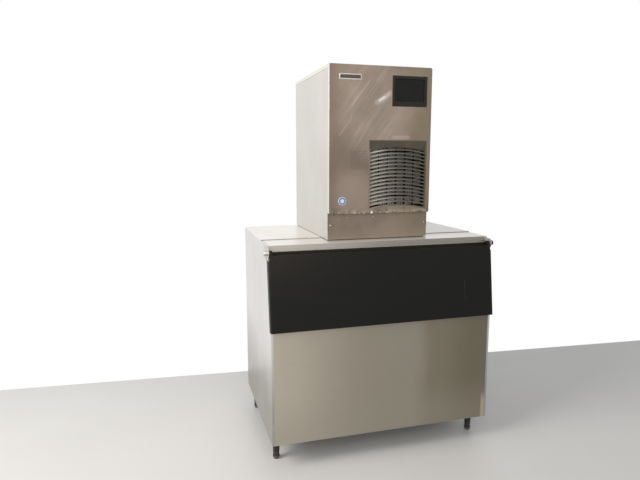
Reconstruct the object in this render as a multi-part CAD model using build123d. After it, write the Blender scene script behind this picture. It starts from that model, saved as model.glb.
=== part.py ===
from build123d import *
import os
from math import atan, cos, degrees, radians, sin, tan

# Ice cube machine: an ice making head that stands on an insulated storage bin with a flip-up door.
# Millimetres. X runs along the front, from left to right seen from the front, and Z is up.
# Each piece is built with y = 0 at the lower front panel and z = 0 at the bin's underside,
# and all are then moved so that the origin is on the floor below the middle of the machine.

# Storage bin
BIN_WIDTH = 1219.0
BIN_DEPTH = 820.0
BIN_HEIGHT = 1016.0
SHEET = 1.2
SEAM = 0.3
SIDE_FLANGE = 12.0
SIDE_BEND = 2.5
SLANT_START = 590.0
RAIL_SETBACK = 62.0
RAIL_FACE = 30.0
RAIL_DEPTH = 213.0
RAIL_SHADOW_GAP = 2.0
HEM = 17.0
FOAM_WALL = 48.0
LINER_WALL = 2.5
LINER_RADIUS = 25.0
MOULDING = 3.0
MOUTH_SIDE = 64.5
MOUTH_SILL = 32.0
MOUTH_BELOW_TOP = 64.0
MOUTH_RADIUS = 14.0
TOP_OPENING_SIDE = 89.5

# Top covers beside the head
COVER_EDGE = 3.2
COVER_OVERLAP = 29.0
COVER_FOAM_DEPTH = 34.0
COVER_CLEARANCE = 2.0

# Legs and feet
LEG_SIDE_INSET = 41.0
LEG_FRONT_INSET = 115.0
LEG_REAR_INSET = 85.0
LEG_LENGTH = 100.0
LEG_TOP_RADIUS = 22.0
LEG_BOTTOM_RADIUS = 16.0
LEG_FLANGE_RADIUS = 28.0
LEG_FLANGE_THICKNESS = 4.0
FOOT_STEM_RADIUS = 6.0
FOOT_STEM_LENGTH = 42.0
FOOT_RADIUS = 18.0
FOOT_NECK_RADIUS = 14.0
FOOT_NECK = 10.0
FOOT_FLANGE = 9.0
FOOT_BEVEL = 11.0
RUNNING_CLEARANCE = 0.06

# Door and its hinges
DOOR_OVERHANG = 4.5
DOOR_ABOVE_SLANT = 6.0
DOOR_BELOW_TOP = 46.0
DOOR_PROUD_BOTTOM = 25.0
DOOR_SETBACK_TOP = 22.0
DOOR_GAP = 3.0
DOOR_WALL = 3.0
DOOR_EDGE_RADIUS = 10.0
DOOR_SKIRT = 10.0
DOOR_NOTCH_BELOW_PIVOT = 38.0
DOOR_NOTCH_DEPTH = 8.0
DOOR_LIP = 6.0
DOOR_LINER_THICKNESS = 3.0
DOOR_LINER_CLEARANCE = 0.2
DOOR_RIB_COUNT = 5
DOOR_RIB_WIDTH = 40.0
DOOR_RIB_DEPTH = 4.0
PIVOT_SETBACK = 42.0
PIVOT_BELOW_TOP = 34.0
EAR_RADIUS = 12.0
EAR_THICKNESS = 16.0
PIN_RADIUS = 5.0
KNOB_RADIUS = 13.0
KNOB_LENGTH = 20.0
KNOB_EDGE = 3.0
BRACKET_THICKNESS = 2.5
BRACKET_EAR_RADIUS = 25.0
BRACKET_REAR = 150.0
BRACKET_TOP_GAP = 4.0
BRACKET_HEIGHT = 72.0
BRACKET_SCREWS = [(103.0, 14.0), (114.0, 37.0), (141.0, 62.0)]

# Screws
SCREW_HEAD_RADIUS = 4.5
SCREW_HEAD_HEIGHT = 2.2
SCREW_SHANK_RADIUS = 2.0
SCREW_LENGTH = 9.0
EDGE_SCREW_HEIGHT = 75.0
FRONT_SCREW_HEIGHT = 114.0
FRONT_SCREWS = [-172.0, -28.0]

# Drain
DRAIN_FROM_REAR = 140.0
DRAIN_RADIUS = 13.2
DRAIN_BORE = 10.0
DRAIN_REACH = 40.0
DRAIN_FLANGE_RADIUS = 32.0
DRAIN_FLANGE = 3.0
DRAIN_NUT_RADIUS = 21.0
DRAIN_NUT = 8.0

# Ice making head: shell
HEAD_WIDTH = 560.0
HEAD_HEIGHT = 880.0
HEAD_SETBACK = 116.0
HEAD_GASKET = 4.0
GASKET_WIDTH = 18.0
GASKET_INSET = 12.0
FRONT_PAN_DEPTH = 23.0
FRONT_PANEL_BOTTOM = 137.0
FRONT_CORNER_RADIUS = 10.0
LOWER_FRONT_SETBACK = 140.0
LOWER_FRONT_HEIGHT = 160.0
LOWER_FRONT_INSET = 3.0
HEAD_TOP_BAND = 20.0
HEAD_RETURN = 15.0
BASE_SHEET = 1.5
BASE_FLANGE = 48.0
ICE_OPENING_WIDTH = 480.0
ICE_OPENING_FRONT = 474.0
ICE_OPENING_DEPTH = 296.0
ICE_COLLAR = 20.0
VENT_ROWS = 7
VENT_COLUMNS = 4
VENT_LENGTH = 90.0
VENT_HEIGHT = 8.0
VENT_PITCH_X = 115.0
VENT_PITCH_Z = 26.0
VENT_MIDDLE = 620.0

# Louvre and air filter
LOUVRE_LEFT = -65.0
LOUVRE_WIDTH = 324.0
LOUVRE_BOTTOM = 156.0
LOUVRE_HEIGHT = 358.0
LOUVRE_FRAME = 6.0
LOUVRE_DEPTH = 20.0
LOUVRE_REBATE = 7.0
LOUVRE_ARCH = 20.0
HOOD_HEIGHT = 50.0
HOOD_ANGLE = 20.0
HOOD_THICKNESS = 2.4
SLAT_COUNT = 15
SLAT_PITCH = 19.1
SLAT_THICKNESS = 2.8
SLAT_RISE = 7.0
SLAT_LAND = 3.0
FILTER_THICKNESS = 10.0
FILTER_BORDER = 14.0
FILTER_BAR = 5.0
FILTER_COLUMNS = 6
FILTER_ROWS = 7

# Control window
WINDOW_LEFT = 58.0
WINDOW_WIDTH = 194.0
WINDOW_BOTTOM = 685.0
WINDOW_HEIGHT = 153.0
WINDOW_LAND = 4.0
BEZEL_PROUD = 2.0
BEZEL_BORDER = 15.0
BEZEL_STRIP = 24.0
BEZEL_DEPTH = 14.0
LENS_THICKNESS = 3.0
LENS_RECESS = 4.0
LENS_CLEARANCE = 0.2

# Control box and its switch
BOX_LEFT = 45.0
BOX_FRONT = 150.0
BOX_DEPTH = 100.0
BOX_BOTTOM = 655.0
BOX_HEIGHT = 190.0
BOX_WALL = 1.5
SWITCH_X = 150.0
SWITCH_Y = 175.0
SWITCH_BUSH_RADIUS = 7.0
SWITCH_BUSH = 9.0
SWITCH_BORE = 4.5
SWITCH_ROLLER = 3.6
SWITCH_ROLLER_LENGTH = 4.4
SWITCH_STEM = 1.8
SWITCH_LENGTH = 20.0
SWITCH_TIP = 3.6

# Machine compartment
PARTITION_SETBACK = 430.0
COMPRESSOR_X = -162.0
COMPRESSOR_Y = 290.0
COMPRESSOR_RADIUS = 92.0
COMPRESSOR_HEIGHT = 262.0
COMPRESSOR_FOOT = 26.0
COMPRESSOR_PLATE = 190.0
COMPRESSOR_PLATE_THICKNESS = 4.0
COMPRESSOR_FOOT_RADIUS = 13.0
CONDENSER_LEFT = -60.0
CONDENSER_WIDTH = 316.0
CONDENSER_SETBACK = 152.0
CONDENSER_DEPTH = 50.0
CONDENSER_BOTTOM = 150.0
CONDENSER_HEIGHT = 360.0
CONDENSER_PLATE = 2.0
FIN_COUNT = 24
FIN_GROOVE = 6.0
FIN_GROOVE_DEPTH = 8.0
FAN_HEIGHT = 330.0
FAN_RADIUS = 120.0
FAN_TIP_GAP = 8.0
FAN_BLADES = 5
FAN_BLADE_THICKNESS = 2.5
FAN_BLADE_ANGLE = 32.0
FAN_HUB_RADIUS = 24.0
FAN_HUB_LENGTH = 22.0
SHROUD_DEPTH = 24.0
SHROUD_RING = 18.0
SHROUD_SHEET = 2.0
MOTOR_RADIUS = 40.0
MOTOR_LENGTH = 62.0
MOTOR_SHAFT = 4.0
MOTOR_ARM_RADIUS = 146.0
MOTOR_ARM = 10.0
MOTOR_GAP = 12.0

# Ice making compartment
CELL_COLUMNS = 12
CELL_ROWS = 8
CELL_PITCH = 35.0
CELL_SIZE = 31.0
CELL_DEPTH = 30.0
CELL_PLATE = 3.0
EVAPORATOR_BOTTOM = 530.0
EVAPORATOR_Y = 622.0
COIL_RADIUS = 5.0
COIL_PASSES = 6
COIL_SPAN = 340.0
COIL_RETURN_X = -207.0
COIL_SINK = 1.0
STRAP_X = 100.0
STRAP_WIDTH = 24.0
STRAP_THICKNESS = 4.0
HANGER_THICKNESS = 6.0
HANGER_WIDTH = 30.0
TRAY_PIVOT_X = -240.0
TRAY_PIVOT_HEIGHT = 505.0
TRAY_PIN_RADIUS = 6.0
TRAY_GAP = 6.0
TRAY_PLATE = 8.0
TRAY_RIM = 8.0
TRAY_MARGIN = 8.0
TRAY_RIB_HEIGHT = 3.0
TRAY_RIB_WIDTH = 4.0
TANK_LEFT = -170.0
TANK_WIDTH = 370.0
TANK_DEPTH = 270.0
TANK_HEIGHT = 80.0
TANK_WALL = 3.0
TANK_RADIUS = 24.0
PUMP_X = 150.0
PUMP_RADIUS = 34.0
PUMP_CAN_RADIUS = 27.0
PUMP_HEIGHT = 66.0
PUMP_OUTLET_RADIUS = 9.0
CAM_X = 195.0
CAM_HEIGHT = 640.0
CAM_ARM = 60.0
CAM_WIDTH = 18.0
CAM_THICKNESS = 4.0
CAM_GAP = 2.5
CAM_SHAFT_RADIUS = 5.0
CAM_PIN_RADIUS = 3.0
CAM_PIN_LENGTH = 14.0
GEAR_MOTOR_WIDTH = 70.0
GEAR_MOTOR_HEIGHT = 90.0
GEAR_MOTOR_DEPTH = 58.0
SPRING_RADIUS = 7.0
SPRING_EYE = 7.0
SPRING_WIRE = 1.6
SPRING_OFFSET = 15.0
HOOK_PIN_RADIUS = 4.0

# Pipes and connections
PIPE_RADIUS = 4.0
SUCTION_RADIUS = 6.0
PIPE_BEND = 20.0
PIPE_HOLE = 2.0
INLET_X = 220.0
INLET_HEIGHT = 62.0
INLET_RADIUS = 13.2
INLET_NECK = 12.0
INLET_BORE = 8.0
CONNECTION_PROUD = 12.0
VALVE_SIZE = 38.0
VALVE_LENGTH = 44.0
GLAND_X = -220.0
GLAND_RADIUS = 12.0
GLAND_BORE = 5.0
HOLE_CLEARANCE = 0.4

# Ice level paddle
PADDLE_X = -240.0
PADDLE_Y = 560.0
PADDLE_WIDTH = 70.0
PADDLE_LENGTH = 120.0
PADDLE_THICKNESS = 3.0
PADDLE_DROP = 8.0
PADDLE_PIN_RADIUS = 3.0
PADDLE_EAR = 4.0
PADDLE_EAR_GAP = 1.0

# Values worked out from the ones above
BIN_HALF = BIN_WIDTH / 2
HEAD_HALF = HEAD_WIDTH / 2
MOUTH_HALF = BIN_HALF - MOUTH_SIDE
MOUTH_BOTTOM = SLANT_START + MOUTH_SILL
MOUTH_TOP = BIN_HEIGHT - MOUTH_BELOW_TOP
TOP_OPENING_HALF = BIN_HALF - TOP_OPENING_SIDE
DOOR_BOTTOM = SLANT_START + DOOR_ABOVE_SLANT
DOOR_TOP = BIN_HEIGHT - DOOR_BELOW_TOP
INNER_HALF = BIN_HALF - SIDE_FLANGE - SEAM
SLANT_TOP = BIN_HEIGHT - RAIL_FACE
SLANT_ANGLE = atan(RAIL_SETBACK / (SLANT_TOP - SLANT_START))
RAIL_REAR = RAIL_SETBACK + RAIL_DEPTH
SKIN = SHEET + FOAM_WALL
REAR_EDGE = BIN_DEPTH - SKIN
WALL = SKIN + LINER_WALL
PIVOT_Z = BIN_HEIGHT - PIVOT_BELOW_TOP
HEAD_Z = BIN_HEIGHT + HEAD_GASKET
HEAD_TOP = HEAD_Z + HEAD_HEIGHT
HEAD_REAR = BIN_DEPTH
PANEL_REAR = HEAD_SETBACK + FRONT_PAN_DEPTH
SHELL_TOP = HEAD_TOP - HEAD_TOP_BAND - SEAM
BASE_FRONT = LOWER_FRONT_SETBACK + SHEET + SEAM
BASE_REAR = HEAD_REAR - SHEET
BASE_HALF = HEAD_HALF - SHEET
LOUVRE_MIDDLE = LOUVRE_LEFT + LOUVRE_WIDTH / 2
FAN_REAR_OF_SHROUD = CONDENSER_SETBACK + CONDENSER_DEPTH + SHROUD_DEPTH
EVAPORATOR_TOP = EVAPORATOR_BOTTOM + CELL_DEPTH + CELL_PLATE
CELLS_HALF_X = CELL_COLUMNS * CELL_PITCH / 2
CELLS_HALF_Y = CELL_ROWS * CELL_PITCH / 2
PARTITION_REAR = PARTITION_SETBACK + SHEET
TRAY_TOP = EVAPORATOR_BOTTOM - TRAY_GAP
TRAY_FRONT = EVAPORATOR_Y - CELLS_HALF_Y - TRAY_MARGIN
TRAY_REAR = EVAPORATOR_Y + CELLS_HALF_Y + TRAY_MARGIN
TRAY_LEFT = -CELLS_HALF_X - TRAY_MARGIN
TRAY_RIGHT = CELLS_HALF_X + TRAY_MARGIN
SPRING_Y = PARTITION_REAR + SPRING_OFFSET
LEVEL_SHIFT = LEG_LENGTH + FOOT_NECK + FOOT_FLANGE + FOOT_BEVEL
DEPTH_SHIFT = -(BIN_DEPTH + CONNECTION_PROUD - DOOR_PROUD_BOTTOM) / 2


def block(x0, x1, y0, y1, z0, z1):
    """A box between two corners."""
    middle = Pos((x0 + x1) / 2, (y0 + y1) / 2, (z0 + z1) / 2)
    return middle * Box(abs(x1 - x0), abs(y1 - y0), abs(z1 - z0))


def rod(start, direction, radius, length):
    """A round bar from a point along a direction."""
    base = Plane(origin=start, z_dir=direction)
    return base * Cylinder(radius, length, align=(Align.CENTER, Align.CENTER, Align.MIN))


def side_prism(outline, x0, x1):
    """A side view, in Y and Z, drawn out along X."""
    return Pos(x0, 0, 0) * extrude(Plane.YZ * outline, amount=x1 - x0, dir=(1, 0, 0))


def front_prism(outline, y0, y1):
    """A front view, in X and Z, drawn out along Y."""
    return Pos(0, y0, 0) * extrude(Plane.XZ * outline, amount=y1 - y0, dir=(0, 1, 0))


def outline_of(points):
    """A closed outline through points."""
    return make_face(Polyline(*points, close=True))


def slot_face(left, bottom, width, height, radius):
    """A rectangle with round corners, placed by its lower left corner."""
    middle = Pos(left + width / 2, bottom + height / 2)
    return middle * RectangleRounded(width, height, radius)


def tray_box(reach, wall, direction):
    """A folded sheet box between two corners that is open towards one direction."""
    x0, x1, y0, y1, z0, z1 = reach
    dx, dy, dz = direction
    hollow = block(
        x0 + wall * (1 + min(dx, 0)),
        x1 - wall * (1 - max(dx, 0)),
        y0 + wall * (1 + min(dy, 0)),
        y1 - wall * (1 - max(dy, 0)),
        z0 + wall * (1 + min(dz, 0)),
        z1 - wall * (1 - max(dz, 0)),
    )
    return block(*reach) - hollow


def mirrored(shape):
    """The same piece on the other side of the middle."""
    return mirror(shape, about=Plane.YZ)


def slant_y(height):
    """How far back the leaning front is at a height."""
    return (height - SLANT_START) * tan(SLANT_ANGLE)


def bin_outline(inset):
    """The bin's side view, drawn in by a wall thickness."""
    corners = [
        (0, 0),
        (0, SLANT_START),
        (RAIL_SETBACK, SLANT_TOP),
        (RAIL_SETBACK, BIN_HEIGHT),
        (BIN_DEPTH, BIN_HEIGHT),
        (BIN_DEPTH, 0),
    ]
    face = outline_of(corners)
    return offset(face, amount=-inset, kind=Kind.INTERSECTION) if inset else face


def slant_band(bottom, top, depth):
    """A band behind the leaning front, of a depth measured level."""
    corners = [
        (slant_y(bottom), bottom),
        (slant_y(top), top),
        (slant_y(top) + depth, top),
        (slant_y(bottom) + depth, bottom),
    ]
    return outline_of(corners)


def mouth_prism(grow):
    """The door mouth's opening, larger by a margin, through the front wall."""
    face = slot_face(
        -MOUTH_HALF - grow,
        MOUTH_BOTTOM - grow,
        2 * (MOUTH_HALF + grow),
        MOUTH_TOP - MOUTH_BOTTOM + 2 * grow,
        MOUTH_RADIUS + grow,
    )
    return front_prism(face, -RAIL_SETBACK, 3 * WALL)


def bin_side():
    """Left side panel: one folded sheet with a narrow fold on every edge."""
    outer = side_prism(bin_outline(0), -BIN_HALF, -BIN_HALF + SIDE_FLANGE)
    front_edges = outer.edges().filter_by(Plane.YZ).group_by(Axis.X)[0]
    outer = fillet(front_edges, SIDE_BEND)
    return outer - side_prism(bin_outline(SHEET), -BIN_HALF + SHEET, -BIN_HALF + SIDE_FLANGE)


def bin_front_panel():
    """Lower front panel with a fold at the top and at the bottom."""
    panel = block(-INNER_HALF, INNER_HALF, 0, SHEET, 0, SLANT_START - SEAM)
    bottom_fold = block(-INNER_HALF, INNER_HALF, 0, HEM, 0, SHEET)
    top = SLANT_START - SEAM
    top_fold = block(-INNER_HALF, INNER_HALF, 0, HEM, top - SHEET, top)
    return panel + bottom_fold + top_fold


def bin_rear_panel():
    """Rear panel, folded over the top and down into the top opening."""
    sheet = block(-INNER_HALF, INNER_HALF, BIN_DEPTH - SHEET, BIN_DEPTH, 0, BIN_HEIGHT)
    top = block(-INNER_HALF, INNER_HALF, REAR_EDGE, BIN_DEPTH, BIN_HEIGHT - SHEET, BIN_HEIGHT)
    lip = block(-INNER_HALF, INNER_HALF, REAR_EDGE, REAR_EDGE + SHEET, BIN_HEIGHT - SKIN, BIN_HEIGHT)
    fold = block(-INNER_HALF, INNER_HALF, BIN_DEPTH - HEM, BIN_DEPTH, 0, SHEET)
    return sheet + top + lip + fold


def bin_base_pan():
    """Bottom sheet with folds at the front and back, and the drain's hole."""
    front = HEM + SEAM
    rear = BIN_DEPTH - HEM - SEAM
    pan = block(-INNER_HALF, INNER_HALF, front, rear, 0, SHEET)
    for edge in (front, rear - SHEET):
        pan += block(-INNER_HALF, INNER_HALF, edge, edge + SHEET, 0, SIDE_FLANGE)
    hole = rod((0, BIN_DEPTH - DRAIN_FROM_REAR, -SHEET), (0, 0, 1), DRAIN_RADIUS, 3 * SHEET)
    return pan - hole


def front_rail():
    """Top front channel that carries the covers' front edges."""
    face = block(-INNER_HALF, INNER_HALF, RAIL_SETBACK, RAIL_SETBACK + SHEET, SLANT_TOP, BIN_HEIGHT)
    top = block(-INNER_HALF, INNER_HALF, RAIL_SETBACK, RAIL_REAR, BIN_HEIGHT - SHEET, BIN_HEIGHT)
    rear = block(-INNER_HALF, INNER_HALF, RAIL_REAR - SHEET, RAIL_REAR, BIN_HEIGHT - SKIN, BIN_HEIGHT)
    channel = face + top + rear
    nose = channel.edges().filter_by(Axis.X).sort_by(lambda e: e.center().Y - e.center().Z)[0]
    return fillet(nose, SHEET)


def mouth_frame():
    """Moulded frame on the leaning front, with a tunnel through the wall."""
    top = SLANT_TOP - RAIL_SHADOW_GAP
    level = MOULDING / cos(SLANT_ANGLE)
    plate = side_prism(slant_band(SLANT_START, top, level), -INNER_HALF, INNER_HALF)
    through = WALL / cos(SLANT_ANGLE)
    wall_zone = side_prism(slant_band(SLANT_START, top, through), -INNER_HALF, INNER_HALF)
    tunnel = (mouth_prism(MOULDING) - mouth_prism(0)) & wall_zone
    return (plate - mouth_prism(0)) + tunnel


def liner_body(inset):
    """The liner's outer form, drawn in by its wall."""
    half = BIN_HALF - SKIN - inset
    body = side_prism(bin_outline(SKIN + inset), -half, half)
    radius = LINER_RADIUS - inset
    low_edges = body.edges().group_by(Axis.Z)[0]
    rear_edges = body.edges().filter_by(Axis.Z).sort_by(Axis.Y)[-2:]
    return fillet(low_edges + rear_edges, radius)


def top_opening():
    """The opening in the bin's top, under the head and the covers."""
    half = TOP_OPENING_HALF
    return block(-half, half, RAIL_REAR, REAR_EDGE, BIN_HEIGHT - 2 * WALL, BIN_HEIGHT + WALL)


def drain_hole(radius):
    """A hole for the drain, through the bin's bottom."""
    return rod((0, BIN_DEPTH - DRAIN_FROM_REAR, -WALL), (0, 0, 1), radius, 3 * WALL)


def bin_liner():
    """Seamless tub with round corners, a roof edge and the mouth's cut-out."""
    tub = liner_body(0) - liner_body(LINER_WALL)
    return tub - mouth_prism(MOULDING) - top_opening() - drain_hole(DRAIN_RADIUS)


def foam_zones():
    """Where the foam is parted: low and high corners of each slab and each corner filler."""
    side = BIN_HALF - SKIN
    far = 2 * BIN_WIDTH
    bend = LINER_RADIUS
    front, rear, floor, roof = SKIN, BIN_DEPTH - SKIN, SKIN, BIN_HEIGHT - SKIN
    knee = SLANT_START - SKIN * tan(SLANT_ANGLE / 2)
    mouth = MOUTH_HALF + MOULDING
    sill, lintel = MOUTH_BOTTOM - MOULDING, MOUTH_TOP + MOULDING
    corner = MOUTH_RADIUS + MOULDING
    zones = [
        (-side, side, -far, far, -far, floor),
        (-side, side, rear, far, floor, far),
        (-side, side, -far, front, floor, knee),
        (-side + bend, side - bend, rear - bend, rear, floor, floor + bend),
        (-side + bend, side - bend, front, front + bend, floor, floor + bend),
        (-side, side, -far, rear, knee, sill),
        (-side, side, -far, rear - bend, lintel, roof),
        (-side, side, -far, RAIL_REAR, roof, far),
    ]
    for hand in (-1, 1):
        zones += [
            (hand * side, hand * far, -far, far, -far, far),
            (hand * (side - bend), hand * side, front + bend, rear - bend, floor, floor + bend),
            (hand * (side - bend), hand * side, front, front + bend, floor, floor + bend),
            (hand * (side - bend), hand * side, rear - bend, rear, floor, floor + bend),
            (hand * (side - bend), hand * side, rear - bend, rear, floor + bend, roof),
            (hand * mouth, hand * side, -far, rear - bend, sill, lintel),
            (hand * (mouth - corner), hand * mouth, -far, rear - bend, sill, sill + corner),
            (hand * (mouth - corner), hand * mouth, -far, rear - bend, lintel - corner, lintel),
            (0, hand * side, RAIL_REAR, rear, roof, far),
        ]
    return zones


def bin_insulation(neighbours):
    """Foam slabs and corner fillers between the outer sheets and the liner."""
    half = BIN_HALF - SHEET
    foam = side_prism(bin_outline(SHEET), -half, half)
    foam -= liner_body(0)
    foam -= mouth_prism(MOULDING)
    foam -= top_opening()
    foam -= drain_hole(DRAIN_RADIUS)
    for piece in neighbours:
        foam -= piece
    slabs = [slab for zone in foam_zones() for slab in (foam & block(*zone)).solids()]
    return [slab for slab in slabs if slab.volume > SHEET * FOAM_WALL]


def top_cover():
    """Left top cover: a shallow folded lid."""
    left = -BIN_HALF
    right = -HEAD_HALF - COVER_CLEARANCE
    front = RAIL_REAR - COVER_OVERLAP
    reach = (left, right, front, BIN_DEPTH, BIN_HEIGHT, BIN_HEIGHT + COVER_EDGE)
    return tray_box(reach, SHEET, (0, 0, -1))


def cover_foam():
    """Foam slab under the left cover, hanging into the top opening."""
    left = -TOP_OPENING_HALF + COVER_CLEARANCE
    right = -HEAD_HALF - 2 * COVER_CLEARANCE
    front = RAIL_REAR + COVER_CLEARANCE
    rear = REAR_EDGE - COVER_CLEARANCE
    top = BIN_HEIGHT + COVER_EDGE - SHEET
    return block(left, right, front, rear, top - COVER_FOAM_DEPTH, top)


def drain_fitting():
    """Moulded drain outlet with its flange in the bin and its nut below."""
    centre_y = BIN_DEPTH - DRAIN_FROM_REAR
    pipe = rod((0, centre_y, -DRAIN_REACH), (0, 0, 1), DRAIN_RADIUS, DRAIN_REACH + WALL)
    flange = rod((0, centre_y, WALL), (0, 0, 1), DRAIN_FLANGE_RADIUS, DRAIN_FLANGE)
    nut_plane = Plane(origin=(0, centre_y, -DRAIN_NUT))
    nut = extrude(nut_plane * RegularPolygon(DRAIN_NUT_RADIUS, 6), amount=DRAIN_NUT)
    bore = rod((0, centre_y, -2 * DRAIN_REACH), (0, 0, 1), DRAIN_BORE, 4 * DRAIN_REACH)
    return pipe + flange + nut - bore


def leg_places():
    """Where the four legs stand, by name."""
    side = BIN_HALF - LEG_SIDE_INSET
    rear = BIN_DEPTH - LEG_REAR_INSET
    return {
        "front_left": (-side, LEG_FRONT_INSET),
        "front_right": (side, LEG_FRONT_INSET),
        "rear_left": (-side, rear),
        "rear_right": (side, rear),
    }


def leg():
    """Tapered leg with a flange under the bin and a blind bore for the foot."""
    under_flange = -LEG_FLANGE_THICKNESS
    profile = [
        (0, 0),
        (LEG_FLANGE_RADIUS, 0),
        (LEG_FLANGE_RADIUS, under_flange),
        (LEG_TOP_RADIUS, under_flange),
        (LEG_BOTTOM_RADIUS, -LEG_LENGTH),
        (0, -LEG_LENGTH),
    ]
    body = revolve(Plane.XZ * outline_of(profile), Axis.Z)
    depth = FOOT_STEM_LENGTH + 2 * SEAM
    bore = rod((0, 0, -LEG_LENGTH), (0, 0, 1), FOOT_STEM_RADIUS + RUNNING_CLEARANCE, depth)
    return body - bore


def foot():
    """Levelling foot: a stem, a neck, a flange and a bevelled sole."""
    neck = -LEG_LENGTH - FOOT_NECK
    flange = neck - FOOT_FLANGE
    sole = flange - FOOT_BEVEL
    profile = [
        (0, -LEG_LENGTH + FOOT_STEM_LENGTH),
        (FOOT_STEM_RADIUS, -LEG_LENGTH + FOOT_STEM_LENGTH),
        (FOOT_STEM_RADIUS, -LEG_LENGTH),
        (FOOT_NECK_RADIUS, -LEG_LENGTH),
        (FOOT_NECK_RADIUS, neck),
        (FOOT_RADIUS, neck),
        (FOOT_RADIUS, flange),
        (FOOT_NECK_RADIUS, sole),
        (0, sole),
    ]
    return revolve(Plane.XZ * outline_of(profile), Axis.Z)


def door_corners(inset):
    """The door's section: thick at the hinge and leaning like the front."""
    inner_bottom = slant_y(DOOR_BOTTOM) - DOOR_GAP / cos(SLANT_ANGLE)
    inner_top = slant_y(DOOR_TOP) - DOOR_GAP / cos(SLANT_ANGLE)
    lean = (DOOR_SETBACK_TOP + DOOR_PROUD_BOTTOM) / (DOOR_TOP - DOOR_BOTTOM)
    level = inset / cos(atan(lean))
    floor = DOOR_BOTTOM + DOOR_LIP + inset if inset else DOOR_BOTTOM
    roof = DOOR_TOP - inset
    outer_floor = -DOOR_PROUD_BOTTOM + lean * (floor - DOOR_BOTTOM) + level
    outer_roof = DOOR_SETBACK_TOP - lean * inset + level
    reach = 2 * DOOR_GAP if inset else 0
    back_floor = inner_bottom + (floor - DOOR_BOTTOM) * tan(SLANT_ANGLE) + reach
    back_roof = inner_top - inset * tan(SLANT_ANGLE) + reach
    return [(outer_floor, floor), (outer_roof, roof), (back_roof, roof), (back_floor, floor)]


def door_panel():
    """Moulded door shell, open at its back, with side skirts, a lip and two ears."""
    half = BIN_HALF + DOOR_OVERHANG
    section = door_corners(0)
    skirt = [(y + (DOOR_SKIRT if i > 1 else 0), z) for i, (y, z) in enumerate(section)]
    shell = side_prism(outline_of(skirt), -half, half)
    front_edges = shell.edges().sort_by(Axis.Y)
    corner_edges = [e for e in front_edges if abs(e.center().X) > half - SEAM]
    leaning = [e for e in corner_edges if e.length > (DOOR_TOP - DOOR_BOTTOM) * cos(SLANT_ANGLE)]
    shell = fillet(leaning[:2], DOOR_EDGE_RADIUS)
    inner = half - DOOR_WALL
    shell -= side_prism(outline_of(door_corners(DOOR_WALL)), -inner, inner)
    behind = [
        (section[3][0], DOOR_BOTTOM - DOOR_WALL),
        (section[2][0] + slant_y(DOOR_TOP + DOOR_WALL) - slant_y(DOOR_TOP), DOOR_TOP + DOOR_WALL),
        (RAIL_SETBACK + DOOR_SKIRT, DOOR_TOP + DOOR_WALL),
        (RAIL_SETBACK + DOOR_SKIRT, DOOR_BOTTOM - DOOR_WALL),
    ]
    shell -= side_prism(outline_of(behind), -inner, inner)
    below_lip = DOOR_BOTTOM - SEAM
    lip_front = -DOOR_PROUD_BOTTOM + DOOR_WALL
    shell -= block(-inner, inner, lip_front, RAIL_SETBACK, below_lip, DOOR_BOTTOM + DOOR_LIP)
    notch_bottom = PIVOT_Z - DOOR_NOTCH_BELOW_PIVOT
    inside = half - DOOR_NOTCH_DEPTH
    for x0, x1 in ((-half - SEAM, -inside), (inside, half + SEAM)):
        shell -= block(x0, x1, -RAIL_SETBACK, 2 * RAIL_SETBACK, notch_bottom, DOOR_TOP + SEAM)
    ear_right = inside
    ear_left = inside - EAR_THICKNESS
    for x0, x1 in ((ear_left, ear_right), (-ear_right, -ear_left)):
        shell += door_end(x0, x1)
    pin = rod((-half, PIVOT_SETBACK, PIVOT_Z), (1, 0, 0), PIN_RADIUS + RUNNING_CLEARANCE, 2 * half)
    return shell - pin


def door_end(x0, x1):
    """One hinge ear: a solid end of the door's top with a round eye."""
    section = door_corners(0)
    notch_bottom = PIVOT_Z - DOOR_NOTCH_BELOW_PIVOT
    lean_front = section[0][0] + (notch_bottom - DOOR_BOTTOM) * (section[1][0] - section[0][0]) / (
        DOOR_TOP - DOOR_BOTTOM
    )
    lean_back = section[3][0] + (notch_bottom - DOOR_BOTTOM) * tan(SLANT_ANGLE)
    root = [
        (lean_front, notch_bottom),
        section[1],
        (PIVOT_SETBACK - EAR_RADIUS, PIVOT_Z),
        (PIVOT_SETBACK + EAR_RADIUS, PIVOT_Z),
        section[2],
        (lean_back, notch_bottom),
    ]
    eye = Pos(PIVOT_SETBACK, PIVOT_Z) * Circle(EAR_RADIUS)
    return side_prism(outline_of(root), x0, x1) + side_prism(eye, x0, x1)


def door_liner():
    """Flat inner panel of the door with upright grooves."""
    section = door_corners(0)
    t = DOOR_LINER_THICKNESS / cos(SLANT_ANGLE)
    floor = DOOR_BOTTOM + DOOR_LIP + DOOR_WALL + DOOR_LINER_CLEARANCE
    roof = DOOR_TOP - DOOR_WALL - DOOR_LINER_CLEARANCE
    back_floor = section[3][0] + slant_y(floor) - slant_y(DOOR_BOTTOM)
    back_roof = section[3][0] + slant_y(roof) - slant_y(DOOR_BOTTOM)
    half = BIN_HALF + DOOR_OVERHANG - DOOR_NOTCH_DEPTH - EAR_THICKNESS - DOOR_LINER_CLEARANCE
    outline = [(back_floor - t, floor), (back_roof - t, roof), (back_roof, roof), (back_floor, floor)]
    panel = side_prism(outline_of(outline), -half, half)
    rib_back = [(y - t, z) for y, z in outline]
    ribs = side_prism(outline_of(rib_back), -half, half)
    margin = 4 * DOOR_RIB_DEPTH
    pitch = 2 * half / DOOR_RIB_COUNT
    for i in range(DOOR_RIB_COUNT):
        x = -half + (i + 0.5) * pitch
        bar = block(x - DOOR_RIB_WIDTH / 2, x + DOOR_RIB_WIDTH / 2, -RAIL_SETBACK, RAIL_SETBACK,
                    floor + margin, roof - margin)
        panel += ribs & bar
    return panel


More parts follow.
